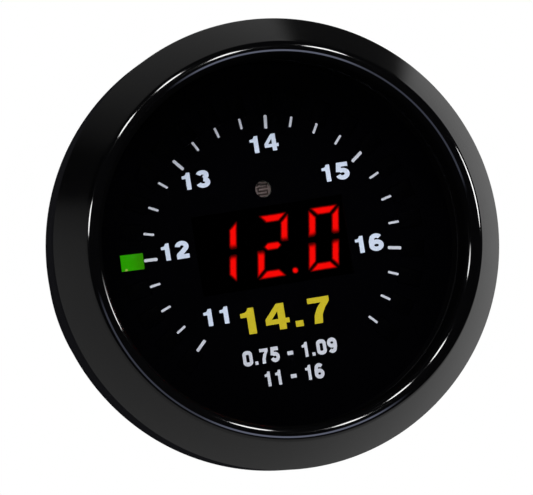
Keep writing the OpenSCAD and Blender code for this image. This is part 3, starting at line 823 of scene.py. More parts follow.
@dataclass
class MeshBuilder:
    """Collects points and faces in drawing millimetres and makes one mesh piece of them."""

    name: str
    shade: Shade = Shade.CRISP
    ridge: float = 0.4
    points: list[Point3] = field(default_factory=list)
    faces: list[tuple[int, ...]] = field(default_factory=list)
    glow: list[float] = field(default_factory=list)

    def add(self, points: Iterable[Point3], glow: float = 0.0) -> list[int]:
        """Adds points.

        Args:
            points: The points.
            glow: Their glow attribute.

        Returns:
            Their numbers.
        """
        start = len(self.points)
        self.points.extend(points)
        self.glow.extend([glow] * (len(self.points) - start))
        return list(range(start, len(self.points)))

    def bridge(self, first: Sequence[int], second: Sequence[int]) -> None:
        """Adds a band of quads between two closed loops, or of triangles where one of them is a point.

        Args:
            first: Numbers of one loop's points.
            second: Numbers of the other's, as many, or one point's.
        """
        count = max(len(first), len(second))
        for i in range(count):
            j = (i + 1) % count
            if len(first) == 1:
                self.faces.append((first[0], second[i], second[j]))
            elif len(second) == 1:
                self.faces.append((first[j], first[i], second[0]))
            else:
                self.faces.append((first[i], first[j], second[j], second[i]))

    def slab(self, outline: Sequence[Point2], low: float, high: float, core: Sequence[Point2]) -> None:
        """Adds a flat plate whose glow attribute rises from its outline to a line along its middle.

        Args:
            outline: Points of the outline, anticlockwise.
            low: Height of its back.
            high: Height of its front.
            core: The two ends of the line along its middle.
        """
        back = self.add((x, y, low) for x, y in outline)
        front = self.add((x, y, high) for x, y in outline)
        start, along = Vector(core[0]), Vector(core[1]) - Vector(core[0])
        ridge = []
        for spot in map(Vector, outline):
            share = (spot - start).dot(along) / max(along.length_squared, AXIS_R)
            nearest = start + along * min(1.0, max(0.0, share))
            ridge.append((*nearest.lerp(spot, self.ridge), high))
        inner = self.add(ridge, 1.0)
        self.bridge(back, front)
        self.bridge(front, inner)
        self.faces.extend((tuple(reversed(back)), tuple(inner)))

    def plate(self, outlines: Sequence[Sequence[Point2]], low: float, high: float) -> None:
        """Adds a flat plate of filled outlines.

        Args:
            outlines: Closed outlines; one inside another is a hole.
            low: Height of its back.
            high: Height of its front.
        """
        curve = bpy.data.curves.new(self.name, "CURVE")
        curve.dimensions = "2D"
        curve.fill_mode = "BOTH"
        curve.extrude = (high - low) / 2
        for outline in outlines:
            spline = curve.splines.new("POLY")
            spline.points.add(len(outline) - 1)
            for spot, (x, y) in zip(spline.points, outline):
                spot.co = (x, y, 0.0, 1.0)
            spline.use_cyclic_u = True
        mesh = baked(stand(self.name, curve), self.name)
        middle = (low + high) / 2
        numbers = self.add((v.co.x, v.co.y, v.co.z + middle) for v in mesh.vertices)
        self.faces.extend(tuple(numbers[i] for i in p.vertices) for p in mesh.polygons)
        bpy.data.meshes.remove(mesh)

    def lathe(self, profile: Sequence[Point2], segments: int, centre: Point2 = (0.0, 0.0),
              wobble: Callable[[float, float, float], float] | None = None) -> None:
        """Adds a turned form round an axis that points out of the dial.

        Args:
            profile: Closed outline as radius and height, or an open one that starts and ends on the axis.
            segments: Steps round the axis.
            centre: The axis's place.
            wobble: Takes radius, height and angle in radians, and returns the radius to use.
        """
        loops: list[list[int]] = []
        for radius, height in profile:
            ring = []
            for i in range(1 if radius < AXIS_R else segments):
                angle = TURN * i / segments
                r = wobble(radius, height, angle) if wobble and radius >= AXIS_R else radius
                ring.append((centre[0] + r * math.cos(angle), centre[1] + r * math.sin(angle), height))
            loops.append(self.add(ring))
        for a, b in zip(loops, loops[1:] + loops[:1]):
            if len(a) > 1 or len(b) > 1:
                self.bridge(a, b)

    def turn(self, corners: Sequence[Point3], segments: int) -> None:
        """Adds a turned form of a closed outline, given as each corner's radius, height and rounding."""
        self.lathe(filleted([c[:2] for c in corners], [c[2] for c in corners]), segments)

    def make(self, finish: Finish, *links: str) -> None:
        """Makes the piece.

        Args:
            finish: Its material.
            links: Its body, slot and node, as for place_piece.
        """
        mesh = bpy.data.meshes.new(self.name)
        mesh.from_pydata([facing(*p) for p in self.points], [], self.faces)
        if any(self.glow):
            mesh.attributes.new("glow", "FLOAT", "POINT").data.foreach_set("value", self.glow)
        place_piece(merged(mesh, self.name, self.shade.value), self.name, finish, *links)


# Geometry Nodes


class PatternTree:
    """A Geometry Nodes tree with named inputs that ends in real geometry with a material."""

    def __init__(self, name: str, sizes: dict[str, float | int], finish: Finish) -> None:
        """Makes the tree's sockets.

        Args:
            name: The tree's name.
            sizes: Its inputs and their values; a whole number makes a whole number socket.
            finish: The material of what it makes.
        """
        self.tree = bpy.data.node_groups.new(name, "GeometryNodeTree")
        self.kit = NodeKit(self.tree)
        self.sizes = sizes
        self.finish = finish
        face = self.tree.interface
        face.new_socket("Geometry", in_out="OUTPUT", socket_type="NodeSocketGeometry")
        self.sockets = {}
        for label, value in sizes.items():
            kind = "NodeSocketInt" if isinstance(value, int) else "NodeSocketFloat"
            self.sockets[label] = face.new_socket(label, in_out="INPUT", socket_type=kind).identifier
        self.entry = self.tree.nodes.new("NodeGroupInput")

    def size(self, label: str) -> Wire:
        """Returns a named input as a wire."""
        return Wire(self.kit, self.entry.outputs[label])

    def mesh(self, name: str, geometry: Wire) -> Mesh:
        """Ends the tree in real geometry with its material, and runs it once.

        Args:
            name: The mesh's name.
            geometry: What the tree makes.

        Returns:
            The result as a plain mesh.
        """
        real = self.kit.add("GeometryNodeRealizeInstances", inputs={0: geometry})
        paint = {"Geometry": real, "Material": self.finish.material()}
        painted = self.kit.add("GeometryNodeSetMaterial", inputs=paint)
        self.kit.node("NodeGroupOutput", inputs={0: painted})
        carrier = stand(name, bpy.data.meshes.new(name))
        modifier = carrier.modifiers.new("pattern", "NODES")
        modifier.node_group = self.tree
        for label, value in self.sizes.items():
            modifier[self.sockets[label]] = value
        return baked(carrier, name)


def ring_of_marks(name: str, sizes: dict[str, float | int], finish: Finish) -> Mesh:
    """Sets round-ended marks along an arc of the dial with Geometry Nodes.

    Args:
        name: The mesh's name.
        sizes: Count, Start and Step in radians, Radius of the marks' middle, Length, Width, Height of
            their foot, Thick, Every and Keep; marks whose number is a multiple of Every are kept where
            Keep is 1 and left out where it is 0. Lengths are in metres.
        finish: The marks' material.

    Returns:
        The mesh of all the marks.
    """
    tree = PatternTree(name, sizes, finish)
    kit, size = tree.kit, tree.size
    number = kit.add("GeometryNodeInputIndex")
    angle = size("Start") - number * size("Step")
    spot = kit.join(size("Radius") * angle.cosine(), 0 - size("Height"), size("Radius") * angle.sine())
    points = kit.add("GeometryNodePoints", inputs={"Count": size("Count"), "Position": spot})
    multiple = number.modulo(size("Every")) < 0.5
    drop = abs(multiple - size("Keep")) > 0.5
    kept = kit.add("GeometryNodeDeleteGeometry", {"domain": "POINT"}, {0: points, 1: drop})
    outline = kit.add("GeometryNodeCurvePrimitiveQuadrilateral", inputs={0: size("Length"), 1: size("Width")})
    corners = {"Curve": outline, "Radius": size("Width") * 0.35, "Count": 4, "Limit Radius": True}
    soft = kit.add("GeometryNodeFilletCurve", {"mode": "POLY"}, corners)
    face = kit.add("GeometryNodeFillCurve", {"mode": "NGONS"}, {0: soft})
    raised = kit.add("GeometryNodeExtrudeMesh", {"mode": "FACES"}, {0: face, "Offset Scale": size("Thick")})
    back = kit.add("GeometryNodeFlipFaces", inputs={0: face})
    solid = kit.node("GeometryNodeJoinGeometry")
    for half in (back, raised):
        kit.tree.links.new(half.socket, solid.inputs[0])
    upright = {0: Wire(kit, solid.outputs[0]), "Rotation": (math.pi / 2, 0.0, 0.0)}
    x, _, z = kit.split(kit.add("GeometryNodeInputPosition"))
    setting = {
        "Points": kept,
        "Instance": kit.add("GeometryNodeTransform", inputs=upright),
        "Rotation": kit.join(0.0, 0 - z.arctan2(x), 0.0),
    }
    return tree.mesh(name, kit.add("GeometryNodeInstanceOnPoints", inputs=setting))


# Sub-assemblies


@dataclass
class Bezel:
    """Screw-on bezel: skirt, straight side, sloping face, round crest, lip and threaded bore."""

    outer_r: float = 30.0
    bore_r: float = 27.3
    skirt_r: float = 28.6
    skirt_h: float = 1.8
    rear: float = 0.1
    side_h: float = 8.8
    crest_r: float = 25.45
    crest_h: float = 13.8
    crest_round: float = 1.2
    lip_back: float = 10.3
    edge: float = 0.3
    thread_pitch: float = 1.5
    thread_cut: float = 0.5
    segments: int = 288

    def corners(self) -> list[Point3]:
        """Draws the section.

        Returns:
            Its corners as radius, height and rounding.
        """
        run, rise = self.outer_r - self.crest_r, self.side_h - self.crest_h
        turn = math.acos(self.crest_round / math.hypot(run, rise)) + math.atan2(rise, run)
        crest = arc(self.crest_r, self.crest_h, self.crest_round, math.degrees(turn), 180.0, 22)
        thread = []
        height = self.lip_back - self.thread_pitch
        while height - self.thread_pitch > self.skirt_h:
            thread += [(self.bore_r, height), (self.bore_r + self.thread_cut, height - self.thread_pitch / 2)]
            height -= self.thread_pitch
        thread += [(self.bore_r, height), (self.bore_r, self.skirt_h), (self.skirt_r, self.skirt_h)]
        return [
            (self.skirt_r, self.rear, 0.1),
            (self.outer_r, self.rear, self.edge),
            (self.outer_r, self.side_h, 0.22),
            *((x, y, 0.0) for x, y in crest),
            (self.crest_r - self.crest_round, self.lip_back, 0.12),
            (self.bore_r, self.lip_back, 0.1),
            *((x, y, 0.05) for x, y in thread),
        ]

    def build(self) -> None:
        """Turns the section round the axis."""
        shape = MeshBuilder("bezel_look", Shade.SOFT)
        shape.turn(self.corners(), self.segments)
        shape.make(BezelCoat("bezel_black"), "bezel", "bezel", "bezel_ring")


@dataclass
class LensStack:
    """Clear lens, its flat gasket and the ring that stands between gasket and dial."""

    lens_r: float = 27.0
    lens_low: float = 8.2
    lens_high: float = 10.2
    lens_chamfer: float = 0.25
    gasket_out: float = 26.9
    gasket_in: float = 25.3
    gasket_low: float = 7.4
    gasket_round: float = 0.25
    ring_out: float = 25.1
    ring_in: float = 24.4
    ring_low: float = 4.6
    ring_high: float = 8.1
    segments: int = 192

    def build(self) -> None:
        """Makes the three turned pieces."""
        radius, low, high, cut = self.lens_r, self.lens_low, self.lens_high, self.lens_chamfer
        lens = MeshBuilder("lens_look")
        lens.lathe([(0, low), (radius - cut, low), (radius, low + cut), (radius, high - cut),
                    (radius - cut, high), (0, high)], self.segments)
        lens.make(ClearCover("lens_clear", gloss=0.08), "lens_carrier", "lens", "front_lens")
        gasket = MeshBuilder("gasket_look", Shade.SOFT)
        gasket.turn([(self.gasket_in, self.gasket_low, self.gasket_round),
                     (self.gasket_out, self.gasket_low, self.gasket_round),
                     (self.gasket_out, low, self.gasket_round),
                     (self.gasket_in, low, self.gasket_round)], self.segments)
        gasket.make(Moulded("gasket_rubber", (0.003, 0.003, 0.003), 0.6, gloss=0.03), BODY, "gasket",
                    "lens_gasket")
        ring = MeshBuilder("well_ring_look", Shade.SOFT)
        ring.turn([(self.ring_in, self.ring_low, 0.05), (self.ring_out, self.ring_low, 0.05),
                   (self.ring_out, self.ring_high, 0.12), (self.ring_in, self.ring_high, 0.15)], self.segments)
        well = Moulded("well_black", (0.0012, 0.0012, 0.0014), 0.38, grain_depth=0.006, gloss=0.03)
        ring.make(well, BODY, "inner_ring", "dial_retaining_ring")


class Stroke(Enum):
    """How a piece of a numeral is given: a path for the pen, open or closed, or its own outline."""

    PATH = 1
    LOOP = 2
    OUTLINE = 3


PATH, LOOP, OWN = Stroke.PATH, Stroke.LOOP, Stroke.OUTLINE
# Each sign's width and its strokes, on a grid 2.2 high
SIGNS: dict[str, tuple[float, list[tuple[Stroke, list[Point2]]]]] = {
    " ": (0.7, []),
    "-": (1.3, [(PATH, [(0.15, 0.95), (1.15, 0.95)])]),
    ".": (0.74, [(OWN, [(0.1, 0.0), (0.62, 0.0), (0.62, 0.5), (0.1, 0.5)])]),
    "0": (1.68, [(LOOP, arc(0.84, 1.66, 0.56, 0, 180, 12, 0.52) + arc(0.84, 0.54, 0.56, 180, 360, 12, 0.52))]),
    "1": (1.6, [(OWN, [(0.72, 0.0), (1.24, 0.0), (1.24, 2.2), (0.84, 2.2), (0.77, 1.98), (0.62, 1.85),
                       (0.3, 1.8), (0.3, 1.44), (0.72, 1.44)])]),
    "2": (1.66, [(PATH, arc(0.83, 1.52, 0.5, 178, -28, 14, 0.88) + [(0.86, 0.86), (0.44, 0.5), (0.36, 0.24)]),
                 (PATH, [(0.12, 0.24), (1.56, 0.24)])]),
    "3": (1.64, [(PATH, arc(0.8, 1.59, 0.46, 165, -82, 12, 0.8)),
                 (PATH, arc(0.8, 0.66, 0.52, 82, -168, 14, 0.8))]),
    "4": (1.72, [(OWN, [(0.95, 0.0), (1.43, 0.0), (1.43, 0.5), (1.68, 0.5), (1.68, 0.91), (1.43, 0.91),
                        (1.43, 2.2), (0.93, 2.2), (0.08, 0.98), (0.08, 0.5), (0.95, 0.5)]),
                 (OWN, [(0.5, 0.91), (0.95, 0.91), (0.95, 1.56)])]),
    "5": (1.66, [(PATH, [(1.46, 1.95), (0.46, 1.95), (0.33, 1.02)]),
                 (PATH, arc(0.78, 0.73, 0.53, 128, -165, 16, 0.9))]),
    "6": (1.66, [(LOOP, arc(0.84, 0.7, 0.55, 0, 345, 20, 0.84)),
                 (PATH, arc(0.88, 1.5, 0.5, 30, 150, 8, 0.9) + [(0.3, 1.25), (0.29, 0.75)])]),
    "7": (1.64, [(OWN, [(0.1, 2.2), (0.1, 1.74), (0.98, 1.74), (0.68, 1.3), (0.45, 0.7), (0.38, 0.0),
                        (0.94, 0.0), (1.0, 0.7), (1.22, 1.25), (1.56, 1.8), (1.56, 2.2)])]),
    "9": (1.66, [(LOOP, arc(0.82, 1.5, 0.55, 0, 345, 20, 0.84)),
                 (PATH, [(1.37, 1.45), (1.36, 0.95)] + arc(0.78, 0.7, 0.5, -30, -150, 8, 0.9))]),
}


@dataclass
class Numerals:
    """Plain bold numerals, drawn as strokes on a grid 2.2 high, and set on the dial."""

    foot: float
    thick: float
    height: float = 2.2
    pen: float = 0.56
    apart: float = 0.24
    layer: float = 0.004

    def write(self, shape: MeshBuilder, text: str, x: float, y: float, tall: float, wide: float) -> None:
        """Adds a word of signs centred on a point.

        Args:
            shape: The mesh that gets them.
            text: The signs.
            x: The middle, sideways.
            y: The middle, upwards.
            tall: The signs' height.
            wide: How much they are stretched sideways.
        """
        scale, half = tall / self.height, self.pen / 2
        letters = [SIGNS[sign] for sign in text]
        total = sum(width for width, _ in letters) + self.apart * (len(letters) - 1)
        left, low = x - total * scale * wide / 2, y - tall / 2
        for width, strokes in letters:
            own = [points for kind, points in strokes if kind is Stroke.OUTLINE]
            layers = [own] if own else []
            for kind, points in strokes:
                if kind is Stroke.PATH:
                    layers.append([ribbon(points, self.pen)])
                elif kind is Stroke.LOOP:
                    layers.append([inset(points, -half), inset(points, half)])
            for number, outlines in enumerate(layers):
                placed = [[(left + px * scale * wide, low + py * scale) for px, py in o] for o in outlines]
                shape.plate(placed, self.foot, self.foot + self.thick + self.layer * number)
            left += (width + self.apart) * scale * wide


@dataclass
class DialPrint:
    """The printed scale: ticks beside the lamp windows, their numbers, the gold number and two spans."""

    tick_r: float = 17.5
    minor_len: float = 1.4525
    major_len: float = 1.8375
    minor_w: float = 0.31
    major_w: float = 0.41
    count: int = 24
    sweep: float = 270.0
    every: int = 4
    thick: float = 0.02
    foot: float = 4.6
    number_tall: float = 2.28
    number_wide: float = 1.15
    numbers: tuple[tuple[str, float, float], ...] = (
        ("11", -9.06, -8.20), ("12", -13.27, 1.28), ("13", -9.00, 10.18),
        ("14", 0.90, 13.65), ("15", 9.91, 8.44), ("16", 12.85, -1.69),
    )
    middle: tuple[str, float, float, float, float] = ("14.7", 0.0, -9.5, 3.5, 1.27)
    spans: tuple[tuple[str, float, float, float, float], ...] = (
        ("0.75 - 1.09", 0.0, -14.4, 2.0, 0.86), ("11 - 16", 0.0, -17.5, 2.0, 0.86),
    )

    def marks(self, name: str, length: float, width: float, keep: float, finish: Finish) -> None:
        """Adds the minor or the major ticks.

        Args:
            name: The piece's name.
            length: A tick's length.
            width: A tick's width.
            keep: 1 for every fourth tick, 0 for the others.
            finish: Its ink.
        """
        sizes = {
            "Count": self.count,
            "Start": math.radians(90 + self.sweep / 2),
            "Step": math.radians(self.sweep / (self.count - 1)),
            "Radius": (self.tick_r - length / 2) * MM,
            "Length": length * MM,
            "Width": width * MM,
            "Height": self.foot * MM,
            "Thick": self.thick * MM,
            "Every": float(self.every),
            "Keep": keep,
        }
        place_piece(merged(ring_of_marks(name, sizes, finish), name, Shade.FLAT.value), name, finish)

    def build(self) -> None:
        """Makes the ticks and the numbers."""
        white = Ink("print_white", (0.42, 0.44, 0.50), 0.10)
        blue = Ink("print_number", (0.43, 0.49, 0.60), 0.10)
        gold = Ink("print_gold", (0.38, 0.31, 0.010), 0.12)
        self.marks("minor_ticks", self.minor_len, self.minor_w, 0.0, white)
        self.marks("major_ticks", self.major_len, self.major_w, 1.0, white)
        scale = [(*number, self.number_tall, self.number_wide) for number in self.numbers]
        pen = Numerals(self.foot, self.thick)
        words = (("scale_numbers", scale, blue), ("middle_number", [self.middle], gold),
                 ("span_numbers", self.spans, white))
        for name, lines, ink in words:
            shape = MeshBuilder(name, Shade.FLAT)
            for line in lines:
                pen.write(shape, *line)
            shape.make(ink)


@dataclass
class Digits:
    """Red three-digit display: segments with mitred outer corners, and a glow that fades at their edges."""

    half_w: float = 2.15
    half_h: float = 4.25
    pitch: float = 7.05
    shift: float = 0.3
    width: float = 1.1
    gap: float = 0.17
    slant: float = 9.0
    low: float = 1.7
    high: float = 2.9
    corner: float = 0.2
    corner_steps: int = 5
    dot_steps: int = 23
    lit: tuple[str, str, str] = ("bc", "abged", "abcdef")

    def segment(self, name: str) -> list[list[Point2]]:
        """Draws a segment of an upright digit.

        Args:
            name: Its letter, from a to g, clockwise from the top, with g in the middle.

        Returns:
            Its outline, and the two ends of the line along its middle.
        """
        half = self.width / 2
        inner_x, inner_y = self.half_w - self.width, self.half_h - self.width
        tip, end, middle = self.width / 8, self.width / 4, self.width / 3
        side, top = self.half_w - self.gap - tip, self.half_h - self.gap - tip
        bar = inner_x + middle - self.gap
        line, post = self.half_w - self.width * 1.35, self.half_w - half
        level = ([(-side, self.half_h), (side, self.half_h), (side, self.half_h - tip),
                  (inner_x - self.gap, inner_y), (self.gap - inner_x, inner_y), (-side, self.half_h - tip)],
                 [(-line, self.half_h - half), (line, self.half_h - half)])
        upright = ([(self.half_w, middle), (self.half_w, top), (self.half_w - tip, top),
                    (inner_x, inner_y - self.gap), (inner_x, middle + end), (inner_x + end, middle)],
                   [(post, self.width * 1.55), (post, self.half_h - self.width * 1.4)])
        centre = ([(-bar, 0), (half - bar, half), (bar - half, half), (bar, 0), (bar - half, -half),
                   (half - bar, -half)],
                  [(-line, 0.0), (line, 0.0)])
        shape, sx, sy = {"a": (level, 1, 1), "b": (upright, 1, 1), "c": (upright, 1, -1), "d": (level, 1, -1),
                         "e": (upright, -1, -1), "f": (upright, -1, 1), "g": (centre, 1, 1)}[name]
        return [[(sx * x, sy * y) for x, y in points] for points in shape]

    def slanted(self, points: Sequence[Point2], across: float) -> list[Point2]:
        """Slants points and moves them sideways."""
        lean = math.tan(math.radians(self.slant))
        return [(x + y * lean + across, y) for x, y in points]

    def build(self) -> None:
        """Makes the lit segments and the lit point."""
        shape = MeshBuilder("lit_segments_look")
        for place, names in enumerate(self.lit):
            across = (place - 1) * self.pitch + self.shift
            for name in names:
                outline, core = (self.slanted(points, across) for points in self.segment(name))
                if sum(a[0] * b[1] - b[0] * a[1] for a, b in zip(outline, outline[1:] + outline[:1])) < 0:
                    outline.reverse()
                soft = filleted(outline, [self.corner] * len(outline), self.corner_steps)
                shape.slab(soft, self.low, self.high, core)
        dot = (self.width - self.gap) / 2
        [(x, y)] = self.slanted([(self.half_w + 2 * dot, self.width / 2 - self.half_h)], self.shift)
        shape.slab(arc(x, y, dot, 0, 345, self.dot_steps), self.low, self.high, ((x, y), (x, y)))
        shape.make(Glow("segment_glow"), BODY, "lit_segment", "lit_segments")


@dataclass
class Housing:
    """Moulded body: threaded collar, flange, land that fits the panel hole, and the wall behind it."""

    seat_r: float = 24.7
    rear_r: float = 25.7
    body_r: float = 26.0
    flange_r: float = 28.3
    collar_r: float = 27.0
    dial_seat_r: float = 25.2
    bore_r: float = 24.2
    rear: float = -33.0
    land: float = -10.0
    land_step: float = 0.3
    flange_t: float = 1.5
    collar_h: float = 7.4
    collar_chamfer: float = 0.2
    dial_back: float = 3.8
    rear_wall: float = 2.0
    thread_pitch: float = 1.5
    thread_cut: float = 0.35
    thread_start: float = 0.6
    segments: int = 192

    def build(self) -> None:
        """Turns the section, given as radius, height and rounding, round the axis."""
        root, height = self.collar_r - self.thread_cut, self.flange_t + self.thread_start
        thread = [(root, self.flange_t, 0.1), (root, height, 0.1)]
        while height + self.thread_pitch < self.collar_h:
            thread += [(self.collar_r, height + self.thread_pitch / 2, 0.12),
                       (root, height + self.thread_pitch, 0.05)]
            height += self.thread_pitch
        inside = self.rear + self.rear_wall
        corners = [
            (self.seat_r, self.rear, 0.1), (self.rear_r, self.rear, 0.4), (self.rear_r, self.land, 0.0),
            (self.body_r, self.land + self.land_step, 0.0), (self.body_r, 0.0, 0.08),
            (self.flange_r, 0.0, 0.15), (self.flange_r, self.flange_t, 0.25), *thread,
            (self.collar_r - self.collar_chamfer, self.collar_h, 0.1),
            (self.dial_seat_r, self.collar_h, 0.1), (self.dial_seat_r, self.dial_back, 0.0),
            (self.bore_r, self.dial_back, 0.1), (self.bore_r, inside, 0.1), (self.seat_r, inside, 0.0),
        ]
        shape = MeshBuilder("housing_look")
        shape.turn(corners, self.segments)
        shape.make(HOUSING, BODY, "housing", "housing_body")


@dataclass
class Studs:
    """Two rolled-thread studs with chamfered ends."""

    place_y: float = 17.0
    radius: float = 1.95
    pitch: float = 0.7
    cut: float = 0.32
    top: float = -28.98
    low: float = -51.0
    chamfer: float = 0.5
    steps: int = 5
    segments: int = 36

    def build(self) -> None:
        """Turns both studs, with the thread cut into their walls."""
        shape = MeshBuilder("studs_look", Shade.SOFT)
        rows = int((self.top - self.low) / self.pitch * self.steps)
        heights = [self.low + (self.top - self.low) * i / rows for i in range(rows + 1)]
        profile = [(0.0, self.low)] + [(self.limit(h), h) for h in heights] + [(0.0, self.top)]
        for side in (1, -1):
            shape.lathe(profile, self.segments, (0.0, side * self.place_y), self.thread)
        shape.make(STEEL, BODY, "steel", "mounting_studs")

    def limit(self, height: float) -> float:
        """Returns the radius that the chamfers leave at a height."""
        spare = min(height - self.low, self.top - height)
        return min(self.radius, self.radius - self.chamfer + spare)

    def thread(self, radius: float, height: float, angle: float) -> float:
        """Returns the radius inside the thread at a height and an angle in radians."""
        phase = (height / self.pitch + angle / TURN) % 1.0
        return min(radius, self.radius - self.cut * abs(phase - 0.5) * 2)


@dataclass
class Refit:
    """Gives CAD nodes softened edges and a finish; each new piece stands for its node."""

    finish: Finish
    slot: str
    bevels: dict[str, float]
    body: str = BODY
    limit: float = 35.0
    flat: float = 0.6

    def build(self, nodes: dict[str, Object]) -> None:
        """Copies each node, merges it, rounds its sharp edges and dresses it.

        Args:
            nodes: The CAD nodes by name.
        """
        for node, bevel in self.bevels.items():
            name = node + "_look"
            mesh = merged(nodes[node].data, name, self.limit, CAD_DOUBLES_M, self.flat)
            if bevel > 0:
                carrier = stand(name, mesh)
                soften = carrier.modifiers.new("edges", "BEVEL")
                soften.width, soften.segments = bevel * MM, 2
                soften.limit_method, soften.angle_limit = "ANGLE", math.radians(self.limit)
                mesh = baked(carrier, name)
                mesh.polygons.foreach_set("use_smooth", [True] * len(mesh.polygons))
                mesh.set_sharp_from_angle(angle=math.radians(Shade.SOFT.value))
            place_piece(mesh, name, self.finish, self.body, self.slot, node)


HOUSING = Moulded("housing_black", (0.012, 0.012, 0.0125), 0.48, 4.0, 0.02)
STEEL = Metal("zinc_steel", (0.56, 0.57, 0.60), (0.40, 0.40, 0.41), 0.32)
CHIP = Moulded("chip_epoxy", (0.011, 0.011, 0.011), 0.5, 7.0)
CONNECTOR = Moulded("connector_black", (0.01, 0.01, 0.0105), 0.42)

REFITS = (
    Refit(DialFace("dial_black"), "dial", {"dial_plate": 0.0}),
    Refit(ClearCover("smoked_filter", (0.45, 0.42, 0.43), 0.0), "filter", {"display_filter": 0.05}),
    Refit(Moulded("guide_acrylic", (0.55, 0.6, 0.62), 0.25, 3.0, 0.003, 0.05), "light_guide",
          {"light_guide_plate": 0.05}),
    Refit(Moulded("white_plastic", (0.62, 0.62, 0.60), 0.4, 5.0, 0.008, 0.06), "white_plastic",
          {"lamp_baffle": 0.05}),
    Refit(Moulded("pipe_smoke", (0.0003, 0.0003, 0.0005), 0.45, 3.0, 0.003, gloss=0.004), "unlit_pipe",
          {"lamp_light_pipes": 0.06}),
    Refit(PipeGlow("pipe_green"), "lit_pipe", {"lit_light_pipe": 0.06}),
    Refit(Moulded("lamp_resin", (0.62, 0.6, 0.5), 0.3, 6.0, 0.004, 0.06), "chip_lamp", {"ring_leds": 0.04}),
    Refit(Moulded("lamp_resin_warm", (0.66, 0.56, 0.3), 0.3, 6.0, 0.004, 0.06), "chip_lamp",
          {"backlight_leds": 0.04}),
    Refit(Moulded("display_black", (0.0004, 0.0004, 0.0004), 0.6, 4.0, 0.004, gloss=0.0), "display_black",
          {"display_case": 0.0}),
    Refit(Moulded("segment_dark", (0.0012, 0.0006, 0.0006), 0.5, 4.0, 0.002, gloss=0.0), "dark_segment",
          {"dark_segments": 0.0}),
    Refit(PhotoCell("photocell"), "photocell", {"light_sensor": 0.06}),
    Refit(SolderMask("solder_mask"), "board", {"display_board": 0.05, "main_board": 0.05}),
    Refit(Metal("tinned", (0.66, 0.65, 0.62), (0.5, 0.48, 0.44), 0.26), "tinned",
          {"display_pins": 0.05, "header_pins": 0.05, "power_pins": 0.1, "sensor_pins": 0.1}),
    Refit(Metal("brass", (0.58, 0.42, 0.16), (0.42, 0.29, 0.11)), "brass",
          {"board_spacers": 0.12, "stud_inserts": 0.05}),
    Refit(CONNECTOR, "display_black", {"header_socket": 0.06}),
    Refit(CONNECTOR, "socket_black", {"sensor_socket": 0.14}),
    Refit(Moulded("connector_ivory", (0.58, 0.56, 0.48), 0.4, 5.0, 0.01, 0.06), "socket_white",
          {"power_socket": 0.14}),
    Refit(CHIP, "chip_black", {"microcontroller": 0.05, "interface_chip": 0.05, "heater_transistor": 0.06,
                               "voltage_regulator": 0.06, "chip_resistors": 0.04}),
    Refit(Metal("aluminium_can", (0.72, 0.72, 0.74), (0.55, 0.55, 0.57), 0.3, 14.0), "can",
          {"filter_capacitors": 0.12, "clock_crystal": 0.15}),
    Refit(Moulded("ferrite", (0.035, 0.035, 0.037), 0.4, 6.0, 0.02), "ferrite", {"power_inductor": 0.15}),
    Refit(HOUSING, "housing", {"rear_cover": 0.15}),
    Refit(Moulded("switch_blue", (0.012, 0.035, 0.16), 0.4, 5.0, 0.01), "switch_blue", {"mode_switch": 0.1}),
    Refit(Moulded("rotor_ivory", (0.6, 0.55, 0.42), 0.4, 5.0, 0.008, 0.06), "rotor",
          {"mode_switch_rotor": 0.12}, "mode_rotor"),
    Refit(STEEL, "steel", {"display_screws": 0.08}),
    Refit(STEEL, "steel", {"clamp_bracket": 0.16, "washers": 0.12}, "bracket"),
    Refit(STEEL, "steel", {"upper_thumb_nut": 0.08}, "upper_nut"),
    Refit(STEEL, "steel", {"lower_thumb_nut": 0.08}, "lower_nut"),
)


# Camera, light and floor


